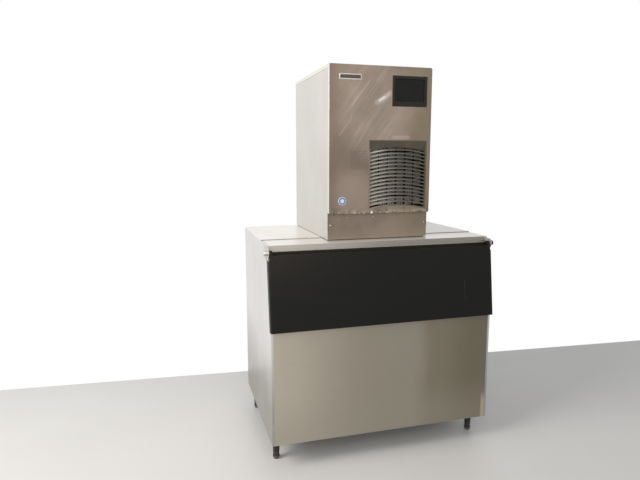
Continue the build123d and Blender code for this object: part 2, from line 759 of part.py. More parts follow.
def hinge_bracket():
    """Left hinge plate, screwed to the side, with a round ear round the pivot."""
    top = BIN_HEIGHT - BRACKET_TOP_GAP
    bottom = top - BRACKET_HEIGHT
    plate_left = RAIL_SETBACK + SIDE_FLANGE
    face = slot_face(plate_left, bottom, BRACKET_REAR - plate_left, BRACKET_HEIGHT, KNOB_EDGE)
    face += Pos(PIVOT_SETBACK, PIVOT_Z) * Circle(BRACKET_EAR_RADIUS)
    neck = Rectangle(plate_left - PIVOT_SETBACK + SIDE_FLANGE, 2 * BRACKET_EAR_RADIUS)
    face += Pos((plate_left + PIVOT_SETBACK + SIDE_FLANGE) / 2, PIVOT_Z) * neck
    plate = side_prism(face, -BIN_HALF - BRACKET_THICKNESS, -BIN_HALF)
    outside = -BIN_HALF - SIDE_FLANGE
    plate -= rod((outside, PIVOT_SETBACK, PIVOT_Z), (1, 0, 0), PIN_RADIUS, 2 * SIDE_FLANGE)
    for y, below in BRACKET_SCREWS:
        start = (outside, y, BIN_HEIGHT - below)
        plate -= rod(start, (1, 0, 0), SCREW_SHANK_RADIUS, 2 * SIDE_FLANGE)
    return plate


def hinge_pin():
    """Left hinge pin: a round cap outside the bracket and a pin through the ear."""
    outside = -BIN_HALF - BRACKET_THICKNESS
    cap = rod((outside, PIVOT_SETBACK, PIVOT_Z), (-1, 0, 0), KNOB_RADIUS, KNOB_LENGTH)
    cap = chamfer(cap.edges().group_by(Axis.X)[0], KNOB_EDGE)
    inside = BIN_HALF + DOOR_OVERHANG - DOOR_NOTCH_DEPTH - EAR_THICKNESS
    shank = rod((outside, PIVOT_SETBACK, PIVOT_Z), (1, 0, 0), PIN_RADIUS, -inside - outside)
    return cap + shank


def screw(start, direction):
    """A pan head screw whose head sits at a point, with its head along a direction."""
    into = tuple(-value for value in direction)
    head = rod(start, direction, SCREW_HEAD_RADIUS, SCREW_HEAD_HEIGHT)
    return head + rod(start, into, SCREW_SHANK_RADIUS, SCREW_LENGTH)


def bin_screws():
    """The screws of both hinge brackets."""
    outside = -BIN_HALF - BRACKET_THICKNESS
    left = [screw((outside, y, BIN_HEIGHT - below), (-1, 0, 0)) for y, below in BRACKET_SCREWS]
    return left + [mirrored(one) for one in left]


def head_gasket():
    """Foam strip round the head's underside."""
    half = HEAD_HALF - GASKET_INSET
    front = LOWER_FRONT_SETBACK + GASKET_INSET
    rear = HEAD_REAR - GASKET_INSET
    ring = block(-half, half, front, rear, BIN_HEIGHT, HEAD_Z)
    inner = half - GASKET_WIDTH
    return ring - block(-inner, inner, front + GASKET_WIDTH, rear - GASKET_WIDTH, BIN_HEIGHT, HEAD_Z)


def head_base():
    """Folded base pan with the ice opening, its collar and the paddle's two ears."""
    reach = (-BASE_HALF, BASE_HALF, BASE_FRONT, BASE_REAR, HEAD_Z, HEAD_Z + BASE_FLANGE)
    pan = tray_box(reach, BASE_SHEET, (0, 0, 1))
    half = ICE_OPENING_WIDTH / 2
    front = ICE_OPENING_FRONT
    rear = front + ICE_OPENING_DEPTH
    rim = BASE_SHEET
    pan += block(-half - rim, half + rim, front - rim, rear + rim, HEAD_Z, HEAD_Z + ICE_COLLAR)
    pan -= block(-half, half, front, rear, HEAD_Z - rim, HEAD_Z + 2 * ICE_COLLAR)
    for y0 in paddle_ears():
        pan += block(PADDLE_X - 2 * PADDLE_EAR, PADDLE_X + 2 * PADDLE_EAR, y0, y0 + PADDLE_EAR,
                     HEAD_Z - PADDLE_DROP - 2 * PADDLE_EAR, HEAD_Z + BASE_SHEET)
    hole = rod((PADDLE_X, PADDLE_Y - PADDLE_WIDTH, HEAD_Z - PADDLE_DROP), (0, 1, 0),
               PADDLE_PIN_RADIUS + RUNNING_CLEARANCE, 3 * PADDLE_WIDTH)
    inside = BASE_REAR - 2 * BASE_SHEET
    for x, radius in ((INLET_X, INLET_NECK), (GLAND_X, GLAND_RADIUS)):
        hole_radius = radius + HOLE_CLEARANCE
        pan -= rod((x, inside, HEAD_Z + INLET_HEIGHT), (0, 1, 0), hole_radius, 4 * BASE_SHEET)
    return pan - hole


def paddle_ears():
    """The near faces of the paddle's two ears."""
    front = PADDLE_Y - PADDLE_EAR_GAP - PADDLE_EAR
    return [front, PADDLE_Y + PADDLE_WIDTH + PADDLE_EAR_GAP]


def ice_paddle():
    """Ice level paddle: a plate that hangs from two stub pins."""
    z = HEAD_Z - PADDLE_DROP
    plate = block(PADDLE_X - PADDLE_THICKNESS / 2, PADDLE_X + PADDLE_THICKNESS / 2,
                  PADDLE_Y, PADDLE_Y + PADDLE_WIDTH, z - PADDLE_LENGTH, z)
    low = plate.edges().filter_by(Axis.X).group_by(Axis.Z)[0]
    plate = fillet(low, 3 * PADDLE_THICKNESS)
    hub_radius = PADDLE_PIN_RADIUS + PADDLE_THICKNESS / 2
    hub = rod((PADDLE_X, PADDLE_Y, z), (0, 1, 0), hub_radius, PADDLE_WIDTH)
    reach = PADDLE_EAR_GAP + PADDLE_EAR
    length = PADDLE_WIDTH + 2 * reach
    pin = rod((PADDLE_X, PADDLE_Y - reach, z), (0, 1, 0), PADDLE_PIN_RADIUS, length)
    return plate + hub + pin


def head_lower_front():
    """Recessed lower front, behind the front panel's lower edge."""
    half = HEAD_HALF - LOWER_FRONT_INSET
    front = LOWER_FRONT_SETBACK
    return block(-half, half, front, front + SHEET, HEAD_Z, HEAD_Z + LOWER_FRONT_HEIGHT)


def head_side():
    """Left side panel with a fold at the front and at the rear."""
    outer = -HEAD_HALF
    fold = outer + HEAD_RETURN
    front = LOWER_FRONT_SETBACK
    sheet = block(outer, outer + SHEET, front, HEAD_REAR, HEAD_Z, SHELL_TOP)
    sheet += block(outer, fold, HEAD_REAR - SHEET, HEAD_REAR, HEAD_Z, SHELL_TOP)
    above = HEAD_Z + LOWER_FRONT_HEIGHT + SEAM
    return sheet + block(outer, fold, front, front + SHEET, above, SHELL_TOP)


def head_front_panel():
    """Front panel: a shallow pan with round corners, the louvre opening and the window opening."""
    bottom = BIN_HEIGHT + FRONT_PANEL_BOTTOM
    height = HEAD_TOP - bottom
    outline = slot_face(-HEAD_HALF, bottom, HEAD_WIDTH, height, FRONT_CORNER_RADIUS)
    inner = slot_face(-HEAD_HALF + SHEET, bottom + SHEET, HEAD_WIDTH - 2 * SHEET, height - 2 * SHEET,
                      FRONT_CORNER_RADIUS - SHEET)
    pan = front_prism(outline, HEAD_SETBACK, PANEL_REAR)
    pan = fillet(pan.edges().group_by(Axis.Y)[0], SIDE_BEND)
    pan -= front_prism(inner, HEAD_SETBACK + SHEET, PANEL_REAR)
    through = (HEAD_SETBACK - SHEET, HEAD_SETBACK + 2 * SHEET)
    window = slot_face(WINDOW_LEFT + WINDOW_LAND, BIN_HEIGHT + WINDOW_BOTTOM + WINDOW_LAND,
                       WINDOW_WIDTH - 2 * WINDOW_LAND, WINDOW_HEIGHT - 2 * WINDOW_LAND, SIDE_BEND)
    return pan - front_prism(louvre_face(0), *through) - front_prism(window, *through)


def head_top_cover():
    """Top cover with a folded band at the sides and the rear."""
    front = PANEL_REAR + SEAM
    low = HEAD_TOP - HEAD_TOP_BAND
    reach = (-HEAD_HALF, HEAD_HALF, front, HEAD_REAR, low, HEAD_TOP)
    cover = tray_box(reach, SHEET, (0, 0, -1))
    inner = HEAD_HALF - SHEET
    return cover - block(-inner, inner, front, front + SHEET, low, HEAD_TOP - SHEET)


def head_rear_panel():
    """Rear panel with rows of air slots and the holes for water and power."""
    half = HEAD_HALF - HEAD_RETURN - SEAM
    panel = block(-half, half, BASE_REAR, HEAD_REAR, HEAD_Z, SHELL_TOP)
    for row in range(VENT_ROWS):
        for column in range(VENT_COLUMNS):
            x = (column - (VENT_COLUMNS - 1) / 2) * VENT_PITCH_X
            z = HEAD_Z + VENT_MIDDLE + (row - (VENT_ROWS - 1) / 2) * VENT_PITCH_Z
            slot = Pos(x, z) * Rectangle(VENT_LENGTH, VENT_HEIGHT)
            panel -= front_prism(slot, BASE_REAR - SHEET, HEAD_REAR + SHEET)
    for x, radius in ((INLET_X, INLET_NECK), (GLAND_X, GLAND_RADIUS)):
        start = (x, BASE_REAR - SHEET, HEAD_Z + INLET_HEIGHT)
        panel -= rod(start, (0, 1, 0), radius + HOLE_CLEARANCE, 4 * SHEET)
    return panel


def louvre_face(inset):
    """The louvre's opening seen from the front: straight sides over an arched lower edge."""
    x0 = LOUVRE_LEFT
    x1 = LOUVRE_LEFT + LOUVRE_WIDTH
    z0 = BIN_HEIGHT + LOUVRE_BOTTOM
    z1 = z0 + LOUVRE_HEIGHT
    low = ThreePointArc((x0, z0), (LOUVRE_MIDDLE, z0 + LOUVRE_ARCH), (x1, z0))
    sides = Polyline((x1, z0), (x1, z1), (x0, z1), (x0, z0))
    return offset(make_face([low, sides]), amount=-inset, kind=Kind.INTERSECTION)


def slat_face(half, z_side):
    """A slat's front: a band between two like arcs."""
    low = ThreePointArc((-half, z_side), (0, z_side + LOUVRE_ARCH), (half, z_side))
    z_top = z_side + SLAT_THICKNESS
    top = ThreePointArc((-half, z_top), (0, z_top + LOUVRE_ARCH), (half, z_top))
    return make_face([low, Line(low @ 1, top @ 1), top, Line(low @ 0, top @ 0)])


def louvre_hood(half):
    """The plate above the slats, arched below like them and leaning back."""
    stretch = 1 / cos(radians(HOOD_ANGLE))
    drop = -HOOD_HEIGHT * stretch
    arch = ThreePointArc((-half, drop), (0, drop + LOUVRE_ARCH * stretch), (half, drop))
    face = make_face([arch, Polyline((half, drop), (half, 0), (-half, 0), (-half, drop))])
    return Rot(HOOD_ANGLE, 0, 0) * extrude(Plane.XZ * face, amount=HOOD_THICKNESS, dir=(0, 1, 0))


def louvre_grille():
    """Moulded louvre: a leaning hood and a rack of arched, rising slats in one frame."""
    z0 = BIN_HEIGHT + LOUVRE_BOTTOM
    z1 = z0 + LOUVRE_HEIGHT
    front = HEAD_SETBACK + SHEET
    rear = front + LOUVRE_DEPTH
    body = front_prism(louvre_face(SEAM) - louvre_face(LOUVRE_FRAME), front - SHEET, rear)
    body += front_prism(louvre_face(-LOUVRE_REBATE) - louvre_face(SEAM), front, front + SHEET)
    half = LOUVRE_WIDTH / 2 - LOUVRE_FRAME + SEAM
    body += Pos(LOUVRE_MIDDLE, front, z1 - LOUVRE_FRAME + SEAM) * louvre_hood(half)
    rise = Vector(0, LOUVRE_DEPTH - SLAT_LAND, SLAT_RISE)
    for i in range(1, SLAT_COUNT + 1):
        face = Plane.XZ * slat_face(half, z0 + i * SLAT_PITCH)
        slat = extrude(face, amount=rise.length, dir=rise.normalized())
        body += Pos(LOUVRE_MIDDLE, front, 0) * slat
    return body


def air_filter():
    """Filter screen: a thin frame with crossing bars."""
    x0 = LOUVRE_LEFT
    x1 = LOUVRE_LEFT + LOUVRE_WIDTH
    z0 = HEAD_Z + LOWER_FRONT_HEIGHT + SEAM
    z1 = BIN_HEIGHT + LOUVRE_BOTTOM + LOUVRE_HEIGHT
    rear = CONDENSER_SETBACK - SEAM
    front = rear - FILTER_THICKNESS
    border = FILTER_BORDER
    screen = block(x0, x1, front, rear, z0, z1)
    screen -= block(x0 + border, x1 - border, front, rear, z0 + border, z1 - border)
    middle = (front + rear) / 2
    for i in range(1, FILTER_COLUMNS):
        x = x0 + border + i * (x1 - x0 - 2 * border) / FILTER_COLUMNS
        screen += block(x, x + FILTER_BAR, middle, rear, z0 + border, z1 - border)
    for i in range(1, FILTER_ROWS):
        z = z0 + border + i * (z1 - z0 - 2 * border) / FILTER_ROWS
        screen += block(x0 + border, x1 - border, middle, rear, z, z + FILTER_BAR)
    return screen


def window_parts():
    """The control window's bezel and its dark face."""
    z0 = BIN_HEIGHT + WINDOW_BOTTOM
    front = HEAD_SETBACK
    outer = slot_face(WINDOW_LEFT, z0, WINDOW_WIDTH, WINDOW_HEIGHT, SIDE_BEND)
    neck = offset(outer, amount=-WINDOW_LAND - SEAM)
    bezel = front_prism(outer, front - BEZEL_PROUD, front)
    bezel = chamfer(bezel.edges().group_by(Axis.Y)[0], BEZEL_PROUD / 2)
    bezel += front_prism(neck, front, front + BEZEL_DEPTH)
    width = WINDOW_WIDTH - 2 * BEZEL_BORDER
    height = WINDOW_HEIGHT - BEZEL_STRIP - BEZEL_BORDER
    glass = slot_face(WINDOW_LEFT + BEZEL_BORDER, z0 + BEZEL_STRIP, width, height, SIDE_BEND)
    lens_rear = front + LENS_RECESS + LENS_THICKNESS
    bezel -= front_prism(glass, front - 2 * BEZEL_PROUD, lens_rear)
    bezel -= front_prism(offset(glass, amount=-BEZEL_PROUD), front, front + 2 * BEZEL_DEPTH)
    pane = offset(glass, amount=-LENS_CLEARANCE)
    return bezel, front_prism(pane, front + LENS_RECESS, lens_rear)


def control_box():
    """Sheet box for the electrics, against the right side, with the mode switch's bush."""
    z0 = HEAD_Z + BOX_BOTTOM
    right = HEAD_HALF - SHEET
    reach = (BOX_LEFT, right, BOX_FRONT, BOX_FRONT + BOX_DEPTH, z0, z0 + BOX_HEIGHT)
    box = tray_box(reach, BOX_WALL, (0, -1, 0))
    box += block(BOX_LEFT, right, BOX_FRONT, BOX_FRONT + BOX_WALL, z0, z0 + BOX_HEIGHT / 2)
    box += rod((SWITCH_X, SWITCH_Y, z0), (0, 0, -1), SWITCH_BUSH_RADIUS, SWITCH_BUSH)
    return box - rod((SWITCH_X, SWITCH_Y, z0 + BOX_WALL), (0, 0, -1), SWITCH_BORE, 2 * SWITCH_BUSH)


def mode_switch():
    """Toggle lever of the mode switch: a cross roller in the bush and a stem below it."""
    z = HEAD_Z + BOX_BOTTOM - SWITCH_BUSH / 2
    half = SWITCH_ROLLER_LENGTH / 2
    roller = rod((SWITCH_X - half, SWITCH_Y, z), (1, 0, 0), SWITCH_ROLLER, SWITCH_ROLLER_LENGTH)
    stem = rod((SWITCH_X, SWITCH_Y, z), (0, 0, -1), SWITCH_STEM, SWITCH_LENGTH)
    tip = rod((SWITCH_X, SWITCH_Y, z - SWITCH_LENGTH), (0, 0, -1), 2 * SWITCH_STEM, SWITCH_TIP)
    return roller + stem + tip


def compressor():
    """Sealed compressor can on its foot plate with four rubber feet's posts."""
    x, y = COMPRESSOR_X, COMPRESSOR_Y
    floor = HEAD_Z + BASE_SHEET
    plate_z = floor + COMPRESSOR_FOOT
    can_low = plate_z + COMPRESSOR_PLATE_THICKNESS
    can = rod((x, y, can_low), (0, 0, 1), COMPRESSOR_RADIUS, COMPRESSOR_HEIGHT)
    can = fillet(can.edges().group_by(Axis.Z)[-1], COMPRESSOR_RADIUS / 2)
    half = COMPRESSOR_PLATE / 2
    body = can + block(x - half, x + half, y - half, y + half, plate_z, can_low)
    inset = half - COMPRESSOR_FOOT_RADIUS
    for dx in (-inset, inset):
        for dy in (-inset, inset):
            body += rod((x + dx, y + dy, floor), (0, 0, 1), COMPRESSOR_FOOT_RADIUS, COMPRESSOR_FOOT)
    cover = block(x - COMPRESSOR_RADIUS - SIDE_FLANGE, x, y - COMPRESSOR_FOOT, y + COMPRESSOR_FOOT,
                  can_low + COMPRESSOR_RADIUS, can_low + 2 * COMPRESSOR_RADIUS)
    return body + cover


def condenser():
    """Fin block between two end plates that stand on the base."""
    x0 = CONDENSER_LEFT
    x1 = CONDENSER_LEFT + CONDENSER_WIDTH
    y0 = CONDENSER_SETBACK
    y1 = y0 + CONDENSER_DEPTH
    z0 = HEAD_Z + CONDENSER_BOTTOM
    z1 = z0 + CONDENSER_HEIGHT
    core = block(x0, x1, y0, y1, z0, z1)
    pitch = (CONDENSER_WIDTH - 2 * CONDENSER_PLATE) / FIN_COUNT
    for i in range(FIN_COUNT):
        x = x0 + CONDENSER_PLATE + (i + 0.5) * pitch - FIN_GROOVE / 2
        core -= block(x, x + FIN_GROOVE, y0, y0 + FIN_GROOVE_DEPTH, z0, z1)
    for x in (x0, x1 - CONDENSER_PLATE):
        core += block(x, x + CONDENSER_PLATE, y0, y1, HEAD_Z + BASE_SHEET, z1)
    return core


def fan_shroud():
    """Shroud behind the condenser: a box with a round opening and a ring."""
    x0 = CONDENSER_LEFT
    x1 = CONDENSER_LEFT + CONDENSER_WIDTH
    y0 = CONDENSER_SETBACK + CONDENSER_DEPTH
    y1 = FAN_REAR_OF_SHROUD
    z0 = HEAD_Z + CONDENSER_BOTTOM
    z1 = z0 + CONDENSER_HEIGHT
    shroud = tray_box((x0, x1, y0, y1, z0, z1), SHROUD_SHEET, (0, -1, 0))
    z = HEAD_Z + FAN_HEIGHT
    opening = FAN_RADIUS + FAN_TIP_GAP
    shroud += rod((LOUVRE_MIDDLE, y1, z), (0, 1, 0), opening + SHROUD_SHEET, SHROUD_RING)
    return shroud - rod((LOUVRE_MIDDLE, y0, z), (0, 1, 0), opening, 4 * SHROUD_DEPTH)


def fan_motor():
    """Fan motor with its shaft and three arms that are fixed to the shroud."""
    z = HEAD_Z + FAN_HEIGHT
    ring_end = FAN_REAR_OF_SHROUD + SHROUD_RING
    front = ring_end + MOTOR_GAP
    body = rod((LOUVRE_MIDDLE, front, z), (0, 1, 0), MOTOR_RADIUS, MOTOR_LENGTH)
    body = fillet(body.edges().group_by(Axis.Y)[-1], MOTOR_SHAFT * 2)
    shaft_front = FAN_REAR_OF_SHROUD - FAN_HUB_LENGTH / 2
    motor = body + rod((LOUVRE_MIDDLE, shaft_front, z), (0, 1, 0), MOTOR_SHAFT, front - shaft_front)
    arm = block(0, MOTOR_ARM_RADIUS, front, front + MOTOR_ARM / 2, -MOTOR_ARM / 2, MOTOR_ARM / 2)
    arm += block(MOTOR_ARM_RADIUS - MOTOR_ARM / 2, MOTOR_ARM_RADIUS, FAN_REAR_OF_SHROUD,
                 front, -MOTOR_ARM / 2, MOTOR_ARM / 2)
    for angle in (45, 135, 225, 315):
        motor += Pos(LOUVRE_MIDDLE, 0, z) * Rot(0, angle, 0) * arm
    return motor


def fan_blades():
    """Fan wheel: a hub with pitched blades."""
    z = HEAD_Z + FAN_HEIGHT
    middle = FAN_REAR_OF_SHROUD + SHROUD_RING / 4
    hub = rod((0, -FAN_HUB_LENGTH / 2, 0), (0, 1, 0), FAN_HUB_RADIUS, FAN_HUB_LENGTH)
    wheel = hub
    middle_x = (FAN_RADIUS + FAN_HUB_RADIUS) / 2 - FAN_BLADE_THICKNESS
    blade = Pos(middle_x, 0, 0) * Rot(-90 + FAN_BLADE_ANGLE, 0, 0)
    shape = RectangleRounded(FAN_RADIUS - FAN_HUB_RADIUS, FAN_RADIUS / 2, FAN_HUB_RADIUS / 2)
    plate = blade * extrude(shape, amount=FAN_BLADE_THICKNESS / 2, both=True)
    for i in range(FAN_BLADES):
        wheel += Rot(0, i * 360 / FAN_BLADES, 0) * plate
    limit = rod((0, -FAN_RADIUS, 0), (0, 1, 0), FAN_RADIUS, 2 * FAN_RADIUS)
    bore = rod((0, -FAN_RADIUS, 0), (0, 1, 0), MOTOR_SHAFT + RUNNING_CLEARANCE, 2 * FAN_RADIUS)
    return Pos(LOUVRE_MIDDLE, middle, z) * ((wheel & limit) - bore)


def partition():
    """Wall between the machine and the ice making compartment, with its holes."""
    half = BASE_HALF - BASE_SHEET - SEAM
    wall = block(-half, half, PARTITION_SETBACK, PARTITION_REAR, HEAD_Z + BASE_SHEET, SHELL_TOP)
    for x, z, radius in pipe_holes():
        start = (x, PARTITION_SETBACK - SHEET, z)
        wall -= rod(start, (0, 1, 0), radius, 4 * SHEET)
    return wall


def pipe_holes():
    """Where the partition is pierced: x, z and radius."""
    coil = HEAD_Z + EVAPORATOR_TOP + COIL_RADIUS - COIL_SINK
    return [
        (-COIL_SPAN / 2, coil, PIPE_RADIUS + PIPE_HOLE),
        (COIL_RETURN_X, coil, SUCTION_RADIUS + PIPE_HOLE),
        (CAM_X, HEAD_Z + CAM_HEIGHT, CAM_SHAFT_RADIUS + PIPE_HOLE),
    ]


def evaporator():
    """Cell block open downwards, with the coil on top, four straps and two hangers."""
    z0 = HEAD_Z + EVAPORATOR_BOTTOM
    z1 = HEAD_Z + EVAPORATOR_TOP
    y0 = EVAPORATOR_Y - CELLS_HALF_Y
    y1 = EVAPORATOR_Y + CELLS_HALF_Y
    cells = block(-CELLS_HALF_X, CELLS_HALF_X, y0, y1, z0, z1)
    pockets = []
    for column in range(CELL_COLUMNS):
        for row in range(CELL_ROWS):
            x = -CELLS_HALF_X + (column + 0.5) * CELL_PITCH
            y = y0 + (row + 0.5) * CELL_PITCH
            half = CELL_SIZE / 2
            pockets.append(block(x - half, x + half, y - half, y + half, z0, z0 + CELL_DEPTH))
    cells = cells - pockets
    strap = STRAP_THICKNESS
    for x in (-STRAP_X, STRAP_X):
        left, right = x - STRAP_WIDTH / 2, x + STRAP_WIDTH / 2
        cells += block(left, right, PARTITION_REAR, y0 + STRAP_WIDTH, z1, z1 + strap)
        cells += block(left, right, PARTITION_REAR, PARTITION_REAR + strap, z1, z1 + STRAP_WIDTH)
        cells += block(left, right, y1 - STRAP_WIDTH, BASE_REAR, z1, z1 + strap)
        cells += block(left, right, BASE_REAR - strap, BASE_REAR, z1, z1 + STRAP_WIDTH)
    pivot = HEAD_Z + TRAY_PIVOT_HEIGHT
    for y in hanger_faces():
        arm_left = TRAY_PIVOT_X - HANGER_WIDTH / 2
        arm_right = TRAY_PIVOT_X + HANGER_WIDTH / 2
        cells += block(arm_left, arm_right, y, y + HANGER_THICKNESS, pivot - HANGER_WIDTH / 2, z1)
        inner_y = y0 if y < y0 else y1 - STRAP_WIDTH
        cells += block(arm_left, -CELLS_HALF_X + STRAP_WIDTH, min(y, inner_y),
                       max(y + HANGER_THICKNESS, inner_y + STRAP_WIDTH), z1 - CELL_PLATE, z1)
        cells -= rod((TRAY_PIVOT_X, y - HANGER_THICKNESS, pivot), (0, 1, 0),
                     TRAY_PIN_RADIUS + RUNNING_CLEARANCE, 3 * HANGER_THICKNESS)
    return cells + coil()


def hanger_faces():
    """The near faces of the two hangers that carry the water tray."""
    return [TRAY_FRONT - SIDE_FLANGE, TRAY_REAR + SIDE_FLANGE - HANGER_THICKNESS]


def coil():
    """Serpentine tube on top of the cells, with its two ends towards the front."""
    z = HEAD_Z + EVAPORATOR_TOP + COIL_RADIUS - COIL_SINK
    half = COIL_SPAN / 2
    pitch = 2 * CELLS_HALF_Y / COIL_PASSES
    first = EVAPORATOR_Y - CELLS_HALF_Y + pitch / 2
    front = TRAY_FRONT - SIDE_FLANGE
    points = [(-half, front, z)]
    for i in range(COIL_PASSES):
        y = first + i * pitch
        near, far = (-half, half) if i % 2 == 0 else (half, -half)
        points += [(near, y, z), (far, y, z)]
    points += [(COIL_RETURN_X, first + (COIL_PASSES - 1) * pitch, z), (COIL_RETURN_X, front, z)]
    corners = [p for i, p in enumerate(points) if p != (-half, first + (COIL_PASSES - 1) * pitch, z)]
    path = FilletPolyline(*corners, radius=pitch / 3)
    return sweep(Plane(origin=path @ 0, z_dir=path % 0) * Circle(COIL_RADIUS), path=path)


def water_plate():
    """Tilting water plate with a rim, ribs, pivot stubs and the spring's hook pin."""
    top = HEAD_Z + TRAY_TOP
    floor = top - TRAY_RIM
    low = floor - TRAY_PLATE
    plate = block(TRAY_LEFT, TRAY_RIGHT, TRAY_FRONT, TRAY_REAR, low, top)
    rim = TANK_WALL
    plate -= block(TRAY_LEFT + rim, TRAY_RIGHT - rim, TRAY_FRONT + rim, TRAY_REAR - rim, floor, top)
    for row in range(1, CELL_ROWS):
        y = EVAPORATOR_Y - CELLS_HALF_Y + row * CELL_PITCH - TRAY_RIB_WIDTH / 2
        rib_top = floor + TRAY_RIB_HEIGHT
        plate += block(TRAY_LEFT + rim, TRAY_RIGHT - rim, y, y + TRAY_RIB_WIDTH, floor, rib_top)
    pivot = HEAD_Z + TRAY_PIVOT_HEIGHT
    reach = SIDE_FLANGE + TRAY_RIB_WIDTH
    plate += rod((TRAY_PIVOT_X, TRAY_FRONT - reach, pivot), (0, 1, 0), TRAY_PIN_RADIUS, reach)
    plate += rod((TRAY_PIVOT_X, TRAY_REAR, pivot), (0, 1, 0), TRAY_PIN_RADIUS, reach)
    plate += block(TRAY_PIVOT_X - TRAY_PIN_RADIUS, TRAY_LEFT, TRAY_FRONT, TRAY_REAR,
                   pivot - TRAY_PIN_RADIUS, pivot + TRAY_PIN_RADIUS)
    hook_front = SPRING_Y + SPRING_RADIUS + SHEET
    hook_z = low + TRAY_PLATE / 2
    plate += rod((CAM_X, hook_front, hook_z), (0, 1, 0), HOOK_PIN_RADIUS, TRAY_FRONT - hook_front)
    return plate


def water_tank():
    """Water tank under the plate, with round corners."""
    top = HEAD_Z + TRAY_TOP - TRAY_RIM - TRAY_PLATE
    y0 = EVAPORATOR_Y - TANK_DEPTH / 2
    y1 = EVAPORATOR_Y + TANK_DEPTH / 2
    x1 = TANK_LEFT + TANK_WIDTH
    outer = block(TANK_LEFT, x1, y0, y1, top - TANK_HEIGHT, top)
    outer = fillet(outer.edges().filter_by(Axis.Z), TANK_RADIUS)
    wall = TANK_WALL
    inner = block(TANK_LEFT + wall, x1 - wall, y0 + wall, y1 - wall, top - TANK_HEIGHT + wall, top)
    return outer - fillet(inner.edges().filter_by(Axis.Z), TANK_RADIUS - wall)


def circulation_pump():
    """Pump under the tank: a motor, a round volute and an outlet stub."""
    top = HEAD_Z + TRAY_TOP - TRAY_RIM - TRAY_PLATE - TANK_HEIGHT
    volute = rod((PUMP_X, EVAPORATOR_Y, top), (0, 0, -1), PUMP_RADIUS, PUMP_HEIGHT / 3)
    body = rod((PUMP_X, EVAPORATOR_Y, top), (0, 0, -1), PUMP_CAN_RADIUS, PUMP_HEIGHT)
    body = chamfer(body.edges().group_by(Axis.Z)[0], KNOB_EDGE)
    outlet_z = top - PUMP_HEIGHT / 6
    outlet = rod((PUMP_X, EVAPORATOR_Y, outlet_z), (-1, 0, 0), PUMP_OUTLET_RADIUS, 2 * PUMP_RADIUS)
    return volute + body + outlet


def gear_motor():
    """Gear motor on the dry side of the partition, with its shaft through the wall."""
    x = CAM_X
    z = HEAD_Z + CAM_HEIGHT
    y1 = PARTITION_SETBACK
    y0 = y1 - GEAR_MOTOR_DEPTH
    gearbox = block(x - GEAR_MOTOR_WIDTH / 2, x + GEAR_MOTOR_WIDTH / 2, y1 - GEAR_MOTOR_DEPTH / 2, y1,
                    z - GEAR_MOTOR_HEIGHT / 2, z + GEAR_MOTOR_HEIGHT / 2)
    can = rod((x, y0, z), (0, 1, 0), GEAR_MOTOR_WIDTH / 2 - SIDE_BEND, GEAR_MOTOR_DEPTH / 2)
    end = PARTITION_REAR + CAM_GAP + CAM_THICKNESS
    shaft = rod((x, y1, z), (0, 1, 0), CAM_SHAFT_RADIUS, end - y1)
    return gearbox + can + shaft


def cam_arm():
    """Cam arm on the gear motor's shaft, pointing up at rest, with the spring's pin."""
    y0 = PARTITION_REAR + CAM_GAP
    y1 = y0 + CAM_THICKNESS
    z = HEAD_Z + CAM_HEIGHT
    face = Pos(CAM_X, z) * Circle(CAM_WIDTH / 2)
    face += Pos(CAM_X, z + CAM_ARM) * Circle(CAM_WIDTH / 2)
    face += Pos(CAM_X, z + CAM_ARM / 2) * Rectangle(CAM_WIDTH, CAM_ARM)
    arm = front_prism(face, y0, y1)
    eye = CAM_SHAFT_RADIUS + RUNNING_CLEARANCE
    arm -= rod((CAM_X, y0 - SHEET, z), (0, 1, 0), eye, 4 * CAM_THICKNESS)
    return arm + rod((CAM_X, y1, z + CAM_ARM), (0, 1, 0), CAM_PIN_RADIUS, CAM_PIN_LENGTH)


def tray_spring():
    """Close wound spring that hangs from the cam arm's pin, with an eye at each end."""
    top = HEAD_Z + CAM_HEIGHT + CAM_ARM
    hook = HEAD_Z + TRAY_TOP - TRAY_RIM - TRAY_PLATE / 2
    coil_top = top - 2 * SPRING_EYE
    coil_low = hook + 2 * SPRING_EYE
    width = SPRING_RADIUS / 2
    spring = rod((CAM_X, SPRING_Y, coil_low), (0, 0, 1), SPRING_RADIUS, coil_top - coil_low)
    spring += rod((CAM_X, SPRING_Y, hook), (0, 0, 1), SPRING_WIRE, top - hook)
    for z, bore in ((top, CAM_PIN_RADIUS), (hook, HOOK_PIN_RADIUS - RUNNING_CLEARANCE)):
        spring += rod((CAM_X, SPRING_Y - width, z), (0, 1, 0), SPRING_EYE, 2 * width)
        spring -= rod((CAM_X, SPRING_Y - width, z), (0, 1, 0), bore + RUNNING_CLEARANCE, 2 * width)
    return spring


def pipe(points, radius):
    """A round tube through points with bends."""
    path = FilletPolyline(*points, radius=PIPE_BEND)
    return sweep(Plane(origin=path @ 0, z_dir=path % 0) * Circle(radius), path=path)


